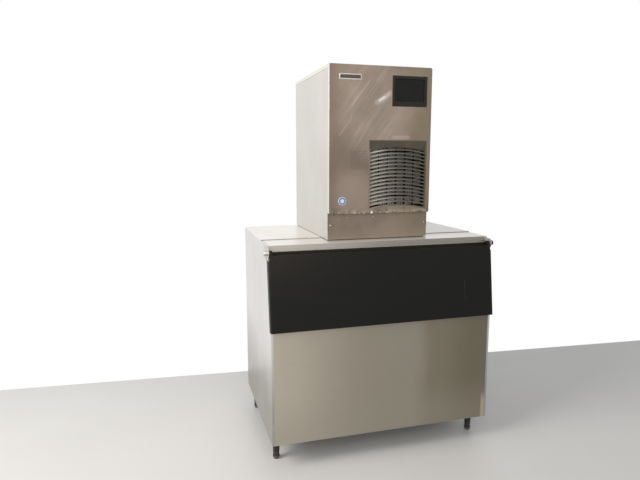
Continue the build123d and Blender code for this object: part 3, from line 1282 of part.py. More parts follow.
def refrigerant_pipes():
    """Discharge, liquid and suction line of the cooling circuit."""
    coil_z = HEAD_Z + EVAPORATOR_TOP + COIL_RADIUS - COIL_SINK
    coil_front = TRAY_FRONT - SIDE_FLANGE
    can_top = HEAD_Z + BASE_SHEET + COMPRESSOR_FOOT + COMPRESSOR_PLATE_THICKNESS + COMPRESSOR_HEIGHT
    condenser_y = CONDENSER_SETBACK + CONDENSER_DEPTH / 2
    upper = HEAD_Z + CONDENSER_BOTTOM + CONDENSER_HEIGHT - 2 * PIPE_BEND
    lower = HEAD_Z + CONDENSER_BOTTOM + 2 * PIPE_BEND
    outlet_x = COMPRESSOR_X + PIPE_BEND
    rise_x = CONDENSER_LEFT - 2 * PIPE_BEND
    liquid_x = -COIL_SPAN / 2
    suction_x = COIL_RETURN_X
    suction_y = COMPRESSOR_Y + 2 * PIPE_BEND
    discharge = [
        (outlet_x, COMPRESSOR_Y, can_top),
        (outlet_x, COMPRESSOR_Y, upper),
        (outlet_x, condenser_y, upper),
        (CONDENSER_LEFT, condenser_y, upper),
    ]
    liquid = [
        (CONDENSER_LEFT, condenser_y, lower),
        (rise_x, condenser_y, lower),
        (rise_x, condenser_y, coil_z),
        (liquid_x, condenser_y, coil_z),
        (liquid_x, coil_front, coil_z),
    ]
    suction = [
        (suction_x + PIPE_BEND, suction_y, can_top - PIPE_BEND),
        (suction_x + PIPE_BEND, suction_y, coil_z - 3 * PIPE_BEND),
        (suction_x, suction_y, coil_z),
        (suction_x, coil_front, coil_z),
    ]
    lines = [pipe(discharge, PIPE_RADIUS), pipe(liquid, PIPE_RADIUS)]
    return lines + [pipe(suction, SUCTION_RADIUS) - compressor()]


def water_valve():
    """Water inlet valve: a body inside and a threaded stub through the rear panel."""
    z = HEAD_Z + INLET_HEIGHT
    rear = BASE_REAR - BASE_SHEET
    half = VALVE_SIZE / 2
    body = block(INLET_X - half, INLET_X + half, rear - VALVE_LENGTH, rear, z - half, z + half)
    coil_start = (INLET_X, rear - VALVE_LENGTH / 2, z + half)
    coil_top = rod(coil_start, (0, 0, 1), half - SIDE_BEND, VALVE_SIZE)
    neck = rod((INLET_X, rear, z), (0, 1, 0), INLET_NECK, HEAD_REAR - rear)
    thread = rod((INLET_X, HEAD_REAR, z), (0, 1, 0), INLET_RADIUS, CONNECTION_PROUD)
    valve = body + coil_top + neck + thread
    end = HEAD_REAR + CONNECTION_PROUD
    return valve - rod((INLET_X, end, z), (0, -1, 0), INLET_BORE, VALVE_LENGTH / 2)


def power_gland():
    """Gland for the power cord, with its nuts either side of the rear panel."""
    z = HEAD_Z + INLET_HEIGHT
    rear = BASE_REAR - BASE_SHEET
    length = HEAD_REAR + CONNECTION_PROUD - rear
    stub = rod((GLAND_X, rear, z), (0, 1, 0), GLAND_RADIUS, length)
    nut = RegularPolygon(GLAND_RADIUS + SIDE_BEND, 6)
    outside = front_prism(Pos(GLAND_X, z) * nut, HEAD_REAR, HEAD_REAR + CONNECTION_PROUD / 2)
    inside = front_prism(Pos(GLAND_X, z) * nut, rear - CONNECTION_PROUD / 2, rear)
    bore_start = (GLAND_X, rear - CONNECTION_PROUD, z)
    bore = rod(bore_start, (0, 1, 0), GLAND_BORE, 4 * CONNECTION_PROUD)
    return stub + outside + inside - bore


def head_screw_places():
    """Screws of the lower front: x and height above the head's base."""
    half = HEAD_HALF - HEAD_RETURN
    pair = [(x, FRONT_SCREW_HEIGHT) for x in FRONT_SCREWS]
    return [(-half, EDGE_SCREW_HEIGHT), (half, EDGE_SCREW_HEIGHT)] + pair


def head_screws():
    """The screws of the lower front."""
    front = LOWER_FRONT_SETBACK
    return [screw((x, front, HEAD_Z + z), (0, -1, 0)) for x, z in head_screw_places()]


def build():
    """All pieces by node name."""
    screws = bin_screws()
    fronts = head_screws()
    front_panel = bin_front_panel()
    rear_panel = bin_rear_panel()
    base_pan = bin_base_pan()
    rail = front_rail()
    frame = mouth_frame()
    side = bin_side() - screws
    bracket = hinge_bracket()
    pin = hinge_pin()
    cover = top_cover()
    foam_slab = cover_foam()
    bezel, lens = window_parts()
    lower_front = head_lower_front() - fronts
    base = head_base() - fronts
    parts = {
        "bin_side_left": side,
        "bin_side_right": mirrored(side),
        "bin_front_panel": front_panel,
        "bin_rear_panel": rear_panel,
        "bin_base_pan": base_pan,
        "bin_insulation": bin_insulation([front_panel, rear_panel, base_pan, rail, frame] + screws),
        "bin_liner": bin_liner(),
        "front_rail": rail,
        "mouth_frame": frame,
        "top_cover_left": cover,
        "top_cover_right": mirrored(cover),
        "cover_foam": [foam_slab, mirrored(foam_slab)],
        "drain_fitting": drain_fitting(),
        "hinge_bracket_left": bracket,
        "hinge_bracket_right": mirrored(bracket),
        "hinge_pin_left": pin,
        "hinge_pin_right": mirrored(pin),
        "bin_screws": screws,
        "door_panel": door_panel(),
        "door_liner": door_liner(),
        "head_gasket": head_gasket(),
        "head_base": base,
        "ice_paddle": ice_paddle(),
        "head_lower_front": lower_front,
        "head_side_left": head_side(),
        "head_side_right": mirrored(head_side()),
        "head_front_panel": head_front_panel(),
        "head_top_cover": head_top_cover(),
        "head_rear_panel": head_rear_panel(),
        "louvre_grille": louvre_grille(),
        "air_filter": air_filter(),
        "window_bezel": bezel,
        "window_lens": lens,
        "control_box": control_box(),
        "mode_switch": mode_switch(),
        "compressor": compressor(),
        "condenser": condenser(),
        "fan_shroud": fan_shroud(),
        "fan_motor": fan_motor(),
        "fan_blades": fan_blades(),
        "partition": partition(),
        "evaporator": evaporator(),
        "water_plate": water_plate(),
        "water_tank": water_tank(),
        "circulation_pump": circulation_pump(),
        "gear_motor": gear_motor(),
        "cam_arm": cam_arm(),
        "tray_spring": tray_spring(),
        "refrigerant_pipes": refrigerant_pipes(),
        "water_valve": water_valve(),
        "power_gland": power_gland(),
        "head_screws": fronts,
    }
    for name, (x, y) in leg_places().items():
        parts["leg_" + name] = Pos(x, y, 0) * leg()
        parts["foot_" + name] = Pos(x, y, 0) * foot()
    return parts


def main():
    """Place every piece and write one file for each."""
    os.makedirs("parts", exist_ok=True)
    place = Pos(0, DEPTH_SHIFT, LEVEL_SHIFT)
    for name, shape in build().items():
        solids = shape if isinstance(shape, list) else [shape]
        moved = [place * solid for one in solids for solid in one.solids()]
        whole = moved[0] if len(moved) == 1 else Compound(children=moved)
        export_step(whole, "parts/" + name + ".step")


if __name__ == "__main__":
    main()
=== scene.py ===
from math import cos, radians, sin
import bmesh
import bpy
from mathutils import Euler, Matrix, Vector


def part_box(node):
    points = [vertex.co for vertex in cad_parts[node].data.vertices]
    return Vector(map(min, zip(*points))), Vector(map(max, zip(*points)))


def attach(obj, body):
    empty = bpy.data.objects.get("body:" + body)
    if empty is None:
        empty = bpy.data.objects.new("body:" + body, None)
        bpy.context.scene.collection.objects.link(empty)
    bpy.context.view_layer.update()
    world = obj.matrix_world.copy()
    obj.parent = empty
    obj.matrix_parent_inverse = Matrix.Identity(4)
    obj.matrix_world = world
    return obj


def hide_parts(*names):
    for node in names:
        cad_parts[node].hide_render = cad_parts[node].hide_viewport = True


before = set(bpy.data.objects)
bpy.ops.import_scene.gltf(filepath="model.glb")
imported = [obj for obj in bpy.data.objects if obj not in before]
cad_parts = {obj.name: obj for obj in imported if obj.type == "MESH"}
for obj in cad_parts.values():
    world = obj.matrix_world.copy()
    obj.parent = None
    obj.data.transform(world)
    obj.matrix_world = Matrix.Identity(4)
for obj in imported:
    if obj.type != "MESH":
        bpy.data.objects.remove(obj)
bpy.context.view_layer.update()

# Four tapered legs of black coated metal, each screwed under the bin by its flange.
# A moulded foot screws into each leg and stands on the floor, dusty at its sole.


class Level:
    """A number or a colour inside a finish, so that sums are written as sums."""

    def __init__(self, finish, socket):
        self.finish = finish
        self.socket = socket

    def math(self, operation, *others):
        values = {i: other for i, other in enumerate((self,) + others)}
        return self.finish.node("ShaderNodeMath", {"operation": operation}, values)

    def __add__(self, other):
        return self.math("ADD", other)

    def __mul__(self, other):
        return self.math("MULTIPLY", other)

    def __sub__(self, other):
        return self.math("SUBTRACT", other)

    def __truediv__(self, other):
        return self.math("DIVIDE", other)

    def __rsub__(self, other):
        return self * -1 + other

    def __rtruediv__(self, other):
        return self.math("POWER", -1) * other

    def __pow__(self, other):
        return self.math("POWER", other)

    __radd__ = __add__
    __rmul__ = __mul__

    def least(self, other):
        return self.math("MINIMUM", other)

    def most(self, other):
        return self.math("MAXIMUM", other)

    def size(self):
        return self.math("ABSOLUTE")

    def held(self):
        return self.most(0).least(1)

    def step(self, start, end):
        """From 0 at start to 1 at end, smoothly."""
        settings = {"interpolation_type": "SMOOTHSTEP"}
        values = {"Value": self, "From Min": start, "From Max": end}
        return self.finish.node("ShaderNodeMapRange", settings, values)


class Finish:
    """A procedural material: its nodes come from one method."""

    def __init__(self, name):
        self.material = bpy.data.materials.new(name)
        self.material.use_nodes = True
        self.tree = self.material.node_tree
        self.tree.nodes.clear()
        self.place = self.node("ShaderNodeTexCoord", out="Object")
        self.x, self.y, self.z = [self.node("ShaderNodeSeparateXYZ", values={0: self.place}, out=i) for i in range(3)]

    def node(self, kind, settings=None, values=None, out=0):
        node = self.tree.nodes.new(kind)
        for key, setting in (settings or {}).items():
            if key == "stops":
                ramp = node.color_ramp
                while len(ramp.elements) < len(setting):
                    ramp.elements.new(0.5)
                for element, (position, colour) in zip(ramp.elements, setting):
                    element.position, element.color = position, colour
            else:
                setattr(node, key, setting)
        for key, value in (values or {}).items():
            socket = node.inputs[key] if isinstance(key, int) else None
            socket = socket or next(s for s in node.inputs if key in (s.identifier, s.name))
            if isinstance(value, Level):
                self.tree.links.new(value.socket, socket)
            else:
                socket.default_value = value
        if not node.outputs:
            return None
        result = node.outputs[out] if isinstance(out, int) else None
        result = result or next(s for s in node.outputs if out in (s.identifier, s.name))
        return Level(self, result)

    def noise(self, scale, detail=3.0, stretch=(1, 1, 1), turn=(0, 0, 0), seed=0.0):
        """Even noise from 0 to 1, turned and then drawn out along its own axes."""
        values = {"Vector": self.place, "Scale": stretch, "Rotation": turn, "Location": (seed, seed * 0.7, -seed)}
        place = self.node("ShaderNodeMapping", {"vector_type": "TEXTURE"}, values)
        values = {"Vector": place, "Scale": scale, "Detail": detail, "Roughness": 0.55}
        return self.node("ShaderNodeTexNoise", values=values, out="Fac")

    def facing(self, axis):
        """How far the surface faces along X, Y or Z, from -1 to 1."""
        normal = self.node("ShaderNodeNewGeometry", out="Normal")
        return self.node("ShaderNodeSeparateXYZ", values={0: normal}, out=axis)

    def mix(self, factor, first, second):
        values = {"Factor_Float": factor, "A_Color": first, "B_Color": second}
        return self.node("ShaderNodeMix", {"data_type": "RGBA"}, values, out="Result_Color")

    def surface(self, colour, roughness, metallic=0.0, height=None, depth=0.0005, **fixed):
        """The shader itself, with a bump of a height in metres."""
        values = {"Base Color": colour, "Roughness": roughness, "Metallic": metallic}
        values.update({key.replace("_", " "): value for key, value in fixed.items()})
        if height is not None:
            bump = {"Height": height, "Distance": depth, "Strength": 1.0}
            values["Normal"] = self.node("ShaderNodeBump", values=bump)
        shader = self.node("ShaderNodeBsdfPrincipled", values=values)
        self.node("ShaderNodeOutputMaterial", values={"Surface": shader})
        return self.material


def tone(red, green, blue):
    """A colour read as 0 to 255 on the screen, as the shader wants it."""
    linear = [((v / 255 + 0.055) / 1.055) ** 2.4 if v > 10 else v / 255 / 12.92 for v in (red, green, blue)]
    return (*linear, 1.0)


def dress(material, *nodes):
    """Give carried-over pieces a finish."""
    for node in nodes:
        piece = bpy.data.objects[node]
        for slot in piece.material_slots:
            slot.material = material


def coated_black(name, colour, dust, dust_top):
    """Black coated or moulded surface with fine orange peel and dust near the floor."""
    finish = Finish(name)
    peel = finish.noise(900, 2)
    patch = finish.noise(14, 4)
    settled = ((patch * 0.6 + 0.7) * (1 - finish.z.step(0.0, dust_top))).held()
    shade = finish.mix(patch, colour, tone(30, 30, 29))
    shade = finish.mix(settled * 0.6, shade, dust)
    return finish.surface(shade, 0.42 + patch * 0.15 + settled * 0.2, height=peel, depth=0.00006)


leg_names = [side + "_" + end for side in ("front", "rear") for end in ("left", "right")]
leg_coat = coated_black("leg_coat", tone(18, 18, 18), tone(96, 93, 88), 0.05)
dress(leg_coat, *["leg_" + name for name in leg_names])
foot_plastic = coated_black("foot_plastic", tone(22, 22, 22), tone(120, 117, 111), 0.03)
dress(foot_plastic, *["foot_" + name for name in leg_names])

# Base pan, rear panel, head base, rear panel, partition, shroud and control box.
# All are folded from zinc coated steel, whose crystals show as a faint spangle.


def zinc_sheet(name, base, seed):
    """Dull zinc with spangle, dry water marks and a few dark specks."""
    finish = Finish(name)
    values = {"Vector": finish.place, "Scale": 70.0, "Randomness": 1.0}
    cell = finish.node("ShaderNodeTexVoronoi", values=values, out="Color")
    spangle = finish.node("ShaderNodeRGBToBW", values={0: cell})
    stain = finish.noise(5, 6, seed=seed)
    specks = finish.noise(160, 2, seed=seed).step(0.72, 0.8)
    light = finish.mix(spangle, tone(*[v - 9 for v in base]), tone(*[v + 9 for v in base]))
    shade = finish.mix(stain.step(0.5, 0.75) * 0.35, light, tone(112, 108, 100))
    shade = finish.mix(specks * 0.4, shade, tone(70, 62, 52))
    return finish.surface(shade, 0.38 + spangle * 0.12 + stain * 0.1, 0.75, finish.noise(300, 2), 0.00004)


dress(zinc_sheet("zinc_bin", (156, 158, 158), 0.0), "bin_base_pan", "bin_rear_panel")
dress(zinc_sheet("zinc_head", (163, 165, 165), 3.0), "head_base", "head_rear_panel", "partition", "fan_shroud", "control_box")

# Foam fills the walls and both covers, yellowed where it is bare.
# The liner is one white moulding with a soft gloss, scratched by scoops near its floor.


def bare_foam(name, base, seed):
    """Rigid foam with open pores and uneven yellowing."""
    finish = Finish(name)
    pores = finish.noise(420, 3, seed=seed)
    age = finish.noise(6, 4, seed=seed + 2)
    shade = finish.mix(age, tone(*base), tone(base[0] - 22, base[1] - 34, base[2] - 52))
    shade = finish.mix(pores.step(0.35, 0.2), shade, tone(120, 104, 70))
    return finish.surface(shade, 0.85, height=pores, depth=0.0006)


def white_moulding(name, base, scratches):
    """Glossy white plastic with a faint orange peel, scale marks and fine scratches."""
    finish = Finish(name)
    haze = finish.noise(9, 5)
    lines = finish.noise(60, 4, stretch=(14, 14, 1), turn=(0.2, 0.5, 0.1)).step(0.63, 0.7)
    scale = finish.noise(26, 5, seed=5).step(0.6, 0.72) * (1 - finish.z.step(0.25, 0.9))
    shade = finish.mix(haze * 0.5, tone(*base), tone(*[v - 14 for v in base]))
    shade = finish.mix((lines * scratches + scale * 0.3).held(), shade, tone(176, 174, 166))
    return finish.surface(shade, 0.28 + haze * 0.12 + lines * 0.2, height=finish.noise(240, 2), depth=0.00008)


dress(bare_foam("wall_foam", (226, 212, 168), 0.0), "bin_insulation")
dress(bare_foam("cover_foam", (232, 226, 206), 7.0), "cover_foam")
dress(white_moulding("liner_plastic", (228, 230, 229), 0.35), "bin_liner", "door_liner")
dress(white_moulding("drain_plastic", (206, 205, 199), 0.1), "drain_fitting")

# Folded stainless sheet, brushed level from front to back, one panel on each side.
# The near side is painted lighter at the top and darker towards the floor as painted shade, with faint wipe marks.


def brushed_sheet(name, light, dark, along, gloss, seed, painted_shade_fade=None, marks=0.3):
    """Brushed stainless: fine grain along one direction under broad cloudy wear, with optional painted shade darker
    towards the bottom.
    """
    finish = Finish(name)
    fine = finish.noise(700, 2, stretch=along, seed=seed)
    coarse = finish.noise(240, 3, stretch=along, seed=seed + 1)
    cloud = finish.noise(2.2, 3, seed=seed + 2)
    wipe = finish.noise(6, 3, stretch=(1, 1, 3), turn=(0.0, 0.3, 0.0), seed=seed + 3)
    body = (cloud * 0.7 + wipe * 0.3).step(0.3, 0.7)
    # Painted shade: the sheet is darkened towards the bottom of the given height range.
    if painted_shade_fade:
        start, end, weight = painted_shade_fade
        body = (body * (1 - weight) + (1 - finish.z.step(end, start)) * weight).held()
    shade = finish.mix(body, tone(*light), tone(*dark))
    shade = finish.mix(coarse.step(0.45, 0.8) * 0.1, shade, tone(*[v - 30 for v in dark]))
    smear = finish.noise(9, 4, turn=(0.3, 0.9, 0.2), seed=seed + 4).step(0.58, 0.76)
    shade = finish.mix(smear * marks, shade, tone(*[min(v + 10, 255) for v in light]))
    rough = gloss + fine * 0.08 + smear * 0.06 + cloud * 0.05
    return finish.surface(shade, rough, 0.7, fine * 0.7 + coarse * 0.3, 0.00003)


side_steel = brushed_sheet("side_steel", (209, 206, 203), (150, 147, 140), (1, 50, 1), 0.27, 0.0, (0.75, 0.25, 0.8))
dress(side_steel, "bin_side_left", "bin_side_right")

# Brushed stainless with a warm cast, the grain running across.
# Painted light makes it lighter at its left and painted shade makes it darker at its right, beyond one upright cloudy
# zone; it is also lighter towards the bottom.

front_finish = Finish("bin_front_steel")
fine = front_finish.noise(700, 2, stretch=(60, 1, 1), seed=11)
coarse = front_finish.noise(260, 3, stretch=(40, 1, 1), seed=12)
cloud = front_finish.noise(1.8, 3, stretch=(1, 1, 2.5), seed=13)
patch = front_finish.noise(7, 3, stretch=(1, 1, 4), seed=14)
across = front_finish.x + (cloud - 0.5) * 0.3 + (patch - 0.5) * 0.06
# Painted light and shade: lighter at the left, darker past an upright cloudy zone and darker again at the right.
shade = front_finish.mix(across.step(-0.62, -0.05), tone(180, 172, 158), tone(151, 144, 131))
painted_right_shade = across.step(0.17, 0.28)
shade = front_finish.mix(painted_right_shade * 0.7, shade, tone(124, 117, 98))
shade = front_finish.mix(across.step(0.3, 0.56) * 0.6, shade, tone(108, 102, 84))
lower = 1 - front_finish.z.step(0.15, 0.42)
shade = front_finish.mix(lower * (0.25 + patch * 0.3), shade, tone(156, 151, 139))
shade = front_finish.mix(coarse.step(0.45, 0.8) * 0.07, shade, tone(92, 86, 74))
corner = front_finish.x.step(0.572, 0.58) * (1 - front_finish.z.step(0.22, 0.29))
shade = front_finish.mix(corner * 0.5, shade, tone(206, 198, 172))
rough = 0.3 + fine * 0.1 + cloud * 0.08
bin_front_steel = front_finish.surface(shade, rough, 0.7, fine * 0.7 + coarse * 0.3, 0.00003)
dress(bin_front_steel, "bin_front_panel")

# Dark moulded frame round the door's mouth, with a tunnel through the wall.


def moulded(name, base, peel, gloss, seed, scuff=0.25, scuff_tone=(120, 116, 108), shine=0.3):
    """Moulded plastic with a spark-eroded grain, soft clouding and light scuffs."""
    finish = Finish(name)
    grain = finish.noise(peel, 2, seed=seed)
    cloud = finish.noise(5, 4, seed=seed + 1)
    rub = finish.noise(34, 5, stretch=(4, 1, 1), turn=(0.1, 0.4, 0.2), seed=seed + 2).step(0.6, 0.74)
    shade = finish.mix(cloud, tone(*base), tone(*[min(int(v * 1.3) + 5, 255) for v in base]))
    shade = finish.mix(rub * scuff, shade, tone(*scuff_tone))
    return finish.surface(shade, gloss + grain * 0.1 + rub * 0.12, height=grain, depth=0.00007, Specular_IOR_Level=shine)


dress(moulded("frame_plastic", (17, 17, 16), 500, 0.5, 20.0, 0.1, shine=0.15), "mouth_frame")

# Bright stainless: the rail across the front, the two loose covers and the head's top.
# The tops of the covers and the rail are nearly white and painted lighter at the left as painted light; faces turned
# to the front are painted grey as painted shade, and the roof has a painted shadow line along its lower edge.

cover_finish = Finish("cover_steel")
fine = cover_finish.noise(700, 2, stretch=(50, 1, 1), seed=30)
cloud = cover_finish.noise(2.6, 3, seed=31)
smear = cover_finish.noise(10, 4, turn=(0, 0, 0.7), stretch=(3, 1, 1), seed=32).step(0.55, 0.75)
# Painted light: lighter at the left, darker at the right.
shade = cover_finish.mix(cover_finish.x.step(-0.4, 0.5), tone(230, 228, 220), tone(206, 203, 196))
shade = cover_finish.mix(cloud.step(0.35, 0.7) * 0.35, shade, tone(200, 197, 190))
shade = cover_finish.mix(smear * 0.25, shade, tone(238, 237, 231))
# Painted shade: faces turned to the front are darkened to a dark grey.
painted_front_shade = (0 - cover_finish.facing(1)).step(0.6, 0.9)
shade = cover_finish.mix(painted_front_shade * 0.85, shade, tone(92, 88, 82))
cover_steel = cover_finish.surface(shade, 0.28 + fine * 0.1 + smear * 0.08, 0.6, fine, 0.00003)
dress(cover_steel, "top_cover_left", "top_cover_right")

rail_finish = Finish("rail_steel")
fine = rail_finish.noise(700, 2, stretch=(60, 1, 1), seed=34)
cloud = rail_finish.noise(5, 3, stretch=(4, 1, 1), seed=35)
# Painted light: lighter at the left, darker at the right.
shade = rail_finish.mix(rail_finish.x.step(-0.5, 0.6), tone(228, 226, 219), tone(210, 207, 200))
# Painted shade: faces turned to the front are painted grey, lighter at the left and darker at the right.
painted_rail_front_shade = (0 - rail_finish.facing(1)).step(0.5, 0.95)
painted_rail_front_tone = rail_finish.mix(rail_finish.x.step(-0.55, 0.15), tone(186, 182, 175), tone(140, 136, 129))
shade = rail_finish.mix(painted_rail_front_shade * (0.8 + cloud * 0.2), shade, painted_rail_front_tone)
rail_steel = rail_finish.surface(shade, 0.26 + fine * 0.1 + cloud * 0.06, 0.65, fine, 0.00003)
dress(rail_steel, "front_rail")

roof_finish = Finish("roof_steel")
fine = roof_finish.noise(700, 2, stretch=(1, 50, 1), seed=37)
cloud = roof_finish.noise(3, 4, seed=38)
shade = roof_finish.mix(cloud, tone(226, 224, 217), tone(208, 205, 198))
roof_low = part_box("head_top_cover")[0][2]
# Painted shadow: a dark line along the roof's lower edge, standing for the shade in the seam's gap.
painted_seam_shadow = 1 - roof_finish.z.step(roof_low + 0.0006, roof_low + 0.003)
shade = roof_finish.mix(painted_seam_shadow * 0.7, shade, tone(96, 90, 82))
roof_steel = roof_finish.surface(shade, 0.3 + fine * 0.1 + painted_seam_shadow * 0.2, 0.6, fine, 0.00003)
dress(roof_steel, "head_top_cover")

# A dark moulded flap with a glossy-to-dull skin, wiped and scratched by use, with a painted sheen at its upper left.
# It turns on two pins through the ears at its top corners.

door_finish = Finish("door_plastic")
grain = door_finish.noise(600, 2, seed=40)
cloud = door_finish.noise(2.4, 4, stretch=(2, 1, 1), seed=41)
wipes = door_finish.noise(9, 4, stretch=(7, 1, 1), turn=(0, 0.15, 0), seed=42).step(0.56, 0.76)
# Painted sheen: a warm lighter patch towards the upper left of the door.
painted_sheen = (1 - door_finish.x.step(-0.62, 0.0)) * door_finish.z.step(0.86, 1.12)
shade = door_finish.mix(cloud, tone(13, 13, 11), tone(19, 19, 16))
shade = door_finish.mix(painted_sheen * 0.6, shade, tone(38, 32, 28))
shade = door_finish.mix(wipes * 0.25, shade, tone(28, 28, 25))
near = door_finish.x - 0.4435
line = (1 - (near + (door_finish.z - 0.88) * 0.03).size().step(0.0005, 0.0014)) * door_finish.z.step(0.826, 0.832)
line = line * (1 - door_finish.z.step(0.925, 0.932))
shade = door_finish.mix(line * 0.35, shade, tone(84, 80, 72))
edge_worn = (1 - door_finish.x.step(-0.612, -0.606)) * grain.step(0.45, 0.6)
shade = door_finish.mix(edge_worn * 0.4, shade, tone(64, 66, 62))
rough = 0.36 + cloud * 0.12 + wipes * 0.12
door_plastic = door_finish.surface(shade, rough, height=grain, depth=0.00005, Specular_IOR_Level=0.16)
dress(door_plastic, "door_panel")

# Stainless brackets on both sides; the left pin is bare steel, the right one has a black cap.
# The brackets and the head's lower front are held by pan head screws with a cross recess.

bracket_steel = brushed_sheet("bracket_steel", (208, 205, 199), (168, 164, 157), (1, 20, 1), 0.3, 50.0)
dress(bracket_steel, "hinge_bracket_left", "hinge_bracket_right", "hinge_pin_left")
dress(moulded("cap_plastic", (14, 14, 14), 500, 0.4, 54.0, 0.1, shine=0.2), "hinge_pin_right")


class Pattern:
    """A geometry tree with named inputs, for pieces that repeat."""

    def __init__(self, name, inputs):
        self.tree = bpy.data.node_groups.new(name, "GeometryNodeTree")
        face = self.tree.interface
        face.new_socket("Geometry", in_out="INPUT", socket_type="NodeSocketGeometry")
        for label, kind in inputs.items():
            face.new_socket(label, in_out="INPUT", socket_type="NodeSocket" + kind)
        face.new_socket("Geometry", in_out="OUTPUT", socket_type="NodeSocketGeometry")
        self.given = self.tree.nodes.new("NodeGroupInput")

    def node(self, kind, settings=None, values=None, out=0):
        node = self.tree.nodes.new(kind)
        for key, setting in (settings or {}).items():
            setattr(node, key, setting)
        for key, value in (values or {}).items():
            socket = node.inputs[key]
            if isinstance(value, bpy.types.NodeSocket):
                self.tree.links.new(value, socket)
            elif isinstance(value, str) and value in self.given.outputs:
                self.tree.links.new(self.given.outputs[value], socket)
            else:
                socket.default_value = value
        return node.outputs[out]

    def done(self, geometry, material):
        real = self.node("GeometryNodeRealizeInstances", values={0: geometry})
        dressed = self.node("GeometryNodeSetMaterial", values={"Geometry": real, "Material": material})
        end = self.tree.nodes.new("NodeGroupOutput")
        self.tree.links.new(dressed, end.inputs[0])

    def make(self, name, points, turns=None, **sizes):
        """Run the tree on a set of points and keep the result as a plain mesh."""
        mesh = bpy.data.meshes.new(name + "_points")
        mesh.from_pydata([tuple(p) for p in points], [], [])
        if turns:
            attribute = mesh.attributes.new("turn", "FLOAT_VECTOR", "POINT")
            for entry, turn in zip(attribute.data, turns):
                entry.vector = turn
        piece = bpy.data.objects.new(name, mesh)
        bpy.context.scene.collection.objects.link(piece)
        modifier = piece.modifiers.new("pattern", "NODES")
        modifier.node_group = self.tree
        for item in self.tree.interface.items_tree:
            if item.in_out == "INPUT" and item.name.replace(" ", "_") in sizes:
                modifier[item.identifier] = sizes[item.name.replace(" ", "_")]
        graph = bpy.context.evaluated_depsgraph_get()
        graph.update()
        plain = bpy.data.meshes.new_from_object(piece.evaluated_get(graph))
        piece.modifiers.clear()
        piece.data = plain
        plain.name = name
        return piece


screw_finish = Finish("screw_steel")
worn = screw_finish.noise(700, 3, seed=60)
rust = screw_finish.noise(120, 3, seed=61).step(0.62, 0.8)
screw_shade = screw_finish.mix(worn, tone(206, 203, 196), tone(150, 146, 138))
screw_shade = screw_finish.mix(rust * 0.5, screw_shade, tone(112, 84, 58))
screw_steel = screw_finish.surface(screw_shade, 0.26 + worn * 0.15, 0.85, worn, 0.00006)

screw_tree = Pattern("pan_head_screw", {"Head Radius": "Float", "Head Height": "Float", "Shank Length": "Float"})
ball = screw_tree.node("GeometryNodeMeshUVSphere", values={"Segments": 20, "Rings": 10, "Radius": 1.0})
spread = screw_tree.node("ShaderNodeCombineXYZ", values={0: "Head Radius", 1: "Head Radius", 2: "Head Height"})
dome = screw_tree.node("GeometryNodeTransform", values={"Geometry": ball, "Scale": spread})
shank = screw_tree.node("GeometryNodeMeshCylinder", values={"Vertices": 16, "Radius": 0.002, "Depth": "Shank Length"})
sunk = screw_tree.node("ShaderNodeMath", {"operation": "MULTIPLY"}, {0: "Shank Length", 1: -0.5})
down = screw_tree.node("ShaderNodeCombineXYZ", values={2: sunk})
shank = screw_tree.node("GeometryNodeTransform", values={"Geometry": shank, "Translation": down})
cross = screw_tree.node("GeometryNodeJoinGeometry")
join = cross.node
for size in ((0.005, 0.0009, 0.0024), (0.0009, 0.005, 0.0024)):
    blade = screw_tree.node("GeometryNodeMeshCube", values={"Size": size})
    lifted = screw_tree.node("GeometryNodeTransform", values={"Geometry": blade, "Translation": (0, 0, 0.0026)})
    screw_tree.tree.links.new(lifted, join.inputs[0])
cut = screw_tree.tree.nodes.new("GeometryNodeMeshBoolean")
cut.operation = "DIFFERENCE"
screw_tree.tree.links.new(dome, cut.inputs[0])
screw_tree.tree.links.new(cross, cut.inputs[1])
whole = screw_tree.tree.nodes.new("GeometryNodeJoinGeometry")
screw_tree.tree.links.new(cut.outputs[0], whole.inputs[0])
screw_tree.tree.links.new(shank, whole.inputs[0])
turn = screw_tree.node("GeometryNodeInputNamedAttribute", {"data_type": "FLOAT_VECTOR"}, {"Name": "turn"})
placed = screw_tree.node("GeometryNodeInstanceOnPoints",
                         values={"Points": "Geometry", "Instance": whole.outputs[0], "Rotation": turn})
screw_tree.done(placed, screw_steel)

BIN_SIDE = 0.612
bracket_spots = [(-0.3005, 1.132), (-0.2895, 1.109), (-0.2625, 1.084)]
spots, turns = [], []
for side in (-1, 1):
    for count, (y, z) in enumerate(bracket_spots):
        spots.append((side * BIN_SIDE, y, z))
        turns.append((count * 0.7, side * radians(90), 0))
bin_screws = screw_tree.make("bin_screws_cross", spots, turns, Head_Radius=0.0045, Head_Height=0.0022, Shank_Length=0.009)
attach(bin_screws, "machine")
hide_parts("bin_screws")

LOWER_FRONT = -0.2635
spots = [(-0.265, LOWER_FRONT, 1.225), (0.265, LOWER_FRONT, 1.225), (-0.172, LOWER_FRONT, 1.264), (-0.028, LOWER_FRONT, 1.264)]
turns = [(radians(90), 0, 0.5 * count) for count in range(len(spots))]
head_screws = screw_tree.make("head_screws_cross", spots, turns, Head_Radius=0.0045, Head_Height=0.0022, Shank_Length=0.009)
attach(head_screws, "machine")
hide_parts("head_screws")

# A soft black foam strip seals the head to the bin.
# The paddle below it is pale plastic and tells when the ice has reached the top.

dress(moulded("strip_foam", (30, 30, 30), 260, 0.8, 70.0), "head_gasket")
dress(white_moulding("paddle_plastic", (214, 216, 214), 0.2), "ice_paddle")

# Brushed stainless like the bin's sides, the grain running level.
# They are a little duller at their upper front corner, where tape has been pulled off.
# They are painted darker towards their lower edge as painted shade.

head_side_steel = brushed_sheet("head_side_steel", (206, 203, 196), (190, 186, 180), (1, 50, 1), 0.3, 80.0, (1.9, 1.2, 0.45), 0.2)
dress(head_side_steel, "head_side_left", "head_side_right")

